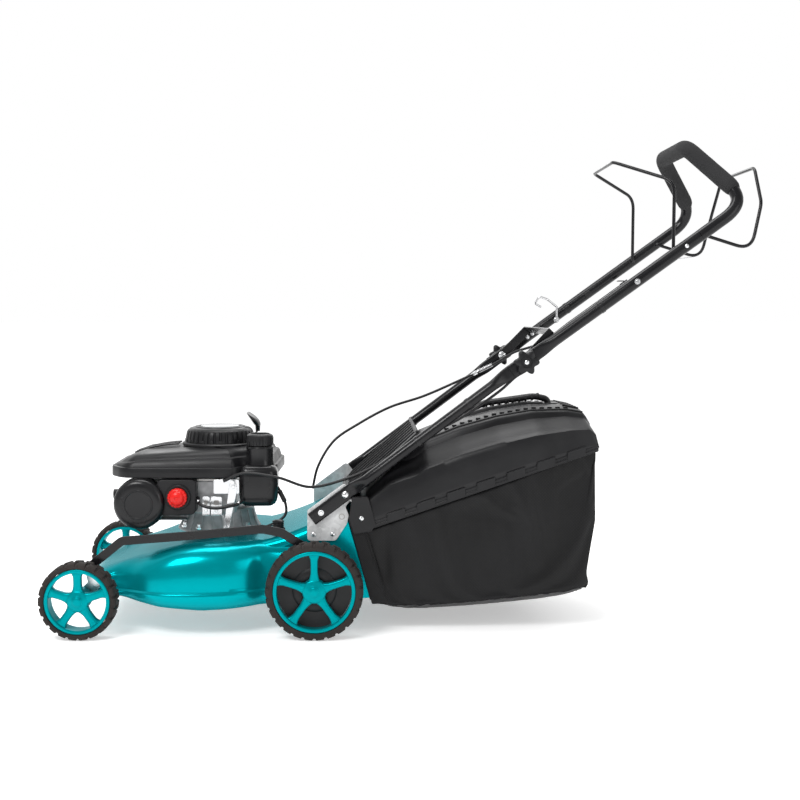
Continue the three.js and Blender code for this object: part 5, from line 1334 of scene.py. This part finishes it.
cloth_verts, cloth_faces, held_verts = bag_cloth()
cloth_mesh = bpy.data.meshes.new("bag_fabric_panels")
cloth_mesh.from_pydata([tuple(c * MM for c in p) for p in cloth_verts], [], cloth_faces)
cloth_mesh.validate()
bag = bpy.data.objects.new("bag_fabric_panels", cloth_mesh)
bpy.context.scene.collection.objects.link(bag)
pins = bag.vertex_groups.new(name="held")
pins.add(list(held_verts), 1.0, "REPLACE")
# Sewn seams hold their line better than the panels between them do.
free = [i for i in range(len(cloth_verts)) if i not in held_verts]
seam = [i for i in free if abs(abs(cloth_verts[i][1]) - (HALF - 3)) < 0.6 and cloth_verts[i][2] < 400]
pins.add(seam, 0.55, "REPLACE")
sim = bag.modifiers.new("hang", "CLOTH")
st = sim.settings
st.quality = 7
st.mass = 0.12
st.tension_stiffness = st.compression_stiffness = 18
st.shear_stiffness = 6
st.bending_stiffness = 0.6
st.tension_damping = st.compression_damping = st.shear_damping = 12
st.air_damping = 3
st.vertex_group_mass = "held"
st.pin_stiffness = 1.0
st.shrink_min = -0.015
sim.collision_settings.use_collision = False
sim.collision_settings.use_self_collision = False
scene = bpy.context.scene
LAST = 38
sim.point_cache.frame_start, sim.point_cache.frame_end = 1, LAST
for f in range(1, LAST + 1):
    scene.frame_set(f)
graph = bpy.context.evaluated_depsgraph_get()
settled = bpy.data.meshes.new_from_object(bag.evaluated_get(graph))
bag.modifiers.remove(sim)
bag.data = settled
scene.frame_set(1)
settled.materials.clear()
settled.materials.append(FABRIC)
wall = bag.modifiers.new("thick", "SOLIDIFY")
wall.thickness = 1.2 * MM
settled.shade_smooth()
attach(bag, "bag")
replace(["bag_body"], bag)


# ---------- Rear flap ----------
fd = Vector((33 + 124, 418 - 274)).normalized()
fn = Vector((-fd.y, fd.x))
flap_len = math.hypot(157, 144)


def on_flap(s, lift):
    return (-124 + fd.x * s + fn.x * lift, 274 + fd.y * s + fn.y * lift)


flap = plate("flap_skin", [on_flap(0, 1.5), on_flap(flap_len, 1.5), on_flap(flap_len, -1.5),
                           on_flap(0, -1.5)], -160, 160, *FLAP_LOOK, bevel=0.8)
replace(["rear_flap"], flap)
for k in range(7):
    y = -132 + 44 * k
    plate("flap_rib_%d" % k, [on_flap(14, 1.2), on_flap(flap_len - 8, 1.2), on_flap(flap_len - 8, 4.4),
                              on_flap(30, 6.5), on_flap(14, 4)], y - 1.6, y + 1.6, *FLAP_LOOK, bevel=0.6)
plate("flap_rim", [on_flap(flap_len - 6, -1.5), on_flap(flap_len, -1.5), on_flap(flap_len, 5),
                   on_flap(flap_len - 6, 5)], -160, 160, *FLAP_LOOK, bevel=1)
lathe("flap_pin", [(5, -166), (5, 166)], (-124, 0, 274), "Y", *FLAP_LOOK, n=32, bevel=0.6)
for side in (-1, 1):
    tube("flap_spring_%d" % side, [Vector((-124, side * (150 - 0.1 * k), 274)) for k in (0, 160)], 6.6, WIRE,
         "flap", "zinc_steel", n=24)

# ---------- Floor, light and world ----------
floor_me = bpy.data.meshes.new("floor")
floor_me.from_pydata([(-90, -90, 0), (90, -90, 0), (90, 90, 0), (-90, 90, 0)], [], [(0, 1, 2, 3)])
floor = bpy.data.objects.new("floor", floor_me)
bpy.context.scene.collection.objects.link(floor)
FLOOR, _, _, fb = material("floor_white")
fb.inputs["Base Color"].default_value = (0.9, 0.9, 0.9, 1)
fb.inputs["Roughness"].default_value = 1.0
fb.inputs["Specular IOR Level"].default_value = 0.0
fb.inputs["Emission Color"].default_value = (1, 1, 1, 1)
fb.inputs["Emission Strength"].default_value = 0.42
floor_me.materials.append(FLOOR)


def area_light(name, where, aim, size, power, shape="RECTANGLE"):
    light = bpy.data.lights.new(name, "AREA")
    light.shape, light.size, light.size_y, light.energy = shape, size[0], size[1], power
    o = bpy.data.objects.new(name, light)
    o.location = where
    o.rotation_euler = (Vector(aim) - Vector(where)).to_track_quat("-Z", "Y").to_euler()
    bpy.context.scene.collection.objects.link(o)


area_light("key", (-1.4, -2.2, 2.6), (0, 0, 0.35), (1.4, 1.0), 62)
area_light("fill", (2.4, -2.4, 1.2), (0, 0, 0.4), (1.2, 1.6), 16)
area_light("top", (-0.2, 0.3, 2.8), (0, 0, 0.4), (2.2, 0.9), 34)
area_light("back", (-0.4, 2.8, 1.8), (0, 0, 0.5), (2.4, 1.2), 16)
world = bpy.data.worlds.new("world")
bpy.context.scene.world = world
world.use_nodes = True
wn, wl = world.node_tree.nodes, world.node_tree.links
direction = wn.new("ShaderNodeSeparateXYZ")
wl.new(wn.new("ShaderNodeTexCoord").outputs["Generated"], direction.inputs[0])
fade = node(wn, "ShaderNodeMapRange", i1=-0.35, i2=0.45, i3=0.42, i4=1.0)
wl.new(direction.outputs["Y"], fade.inputs[0])
wn["Background"].inputs[0].default_value = (1, 1, 1, 1)
wl.new(fade.outputs[0], wn["Background"].inputs[1])
bpy.context.scene.view_settings.view_transform = "Standard"

bpy.context.view_layer.update()
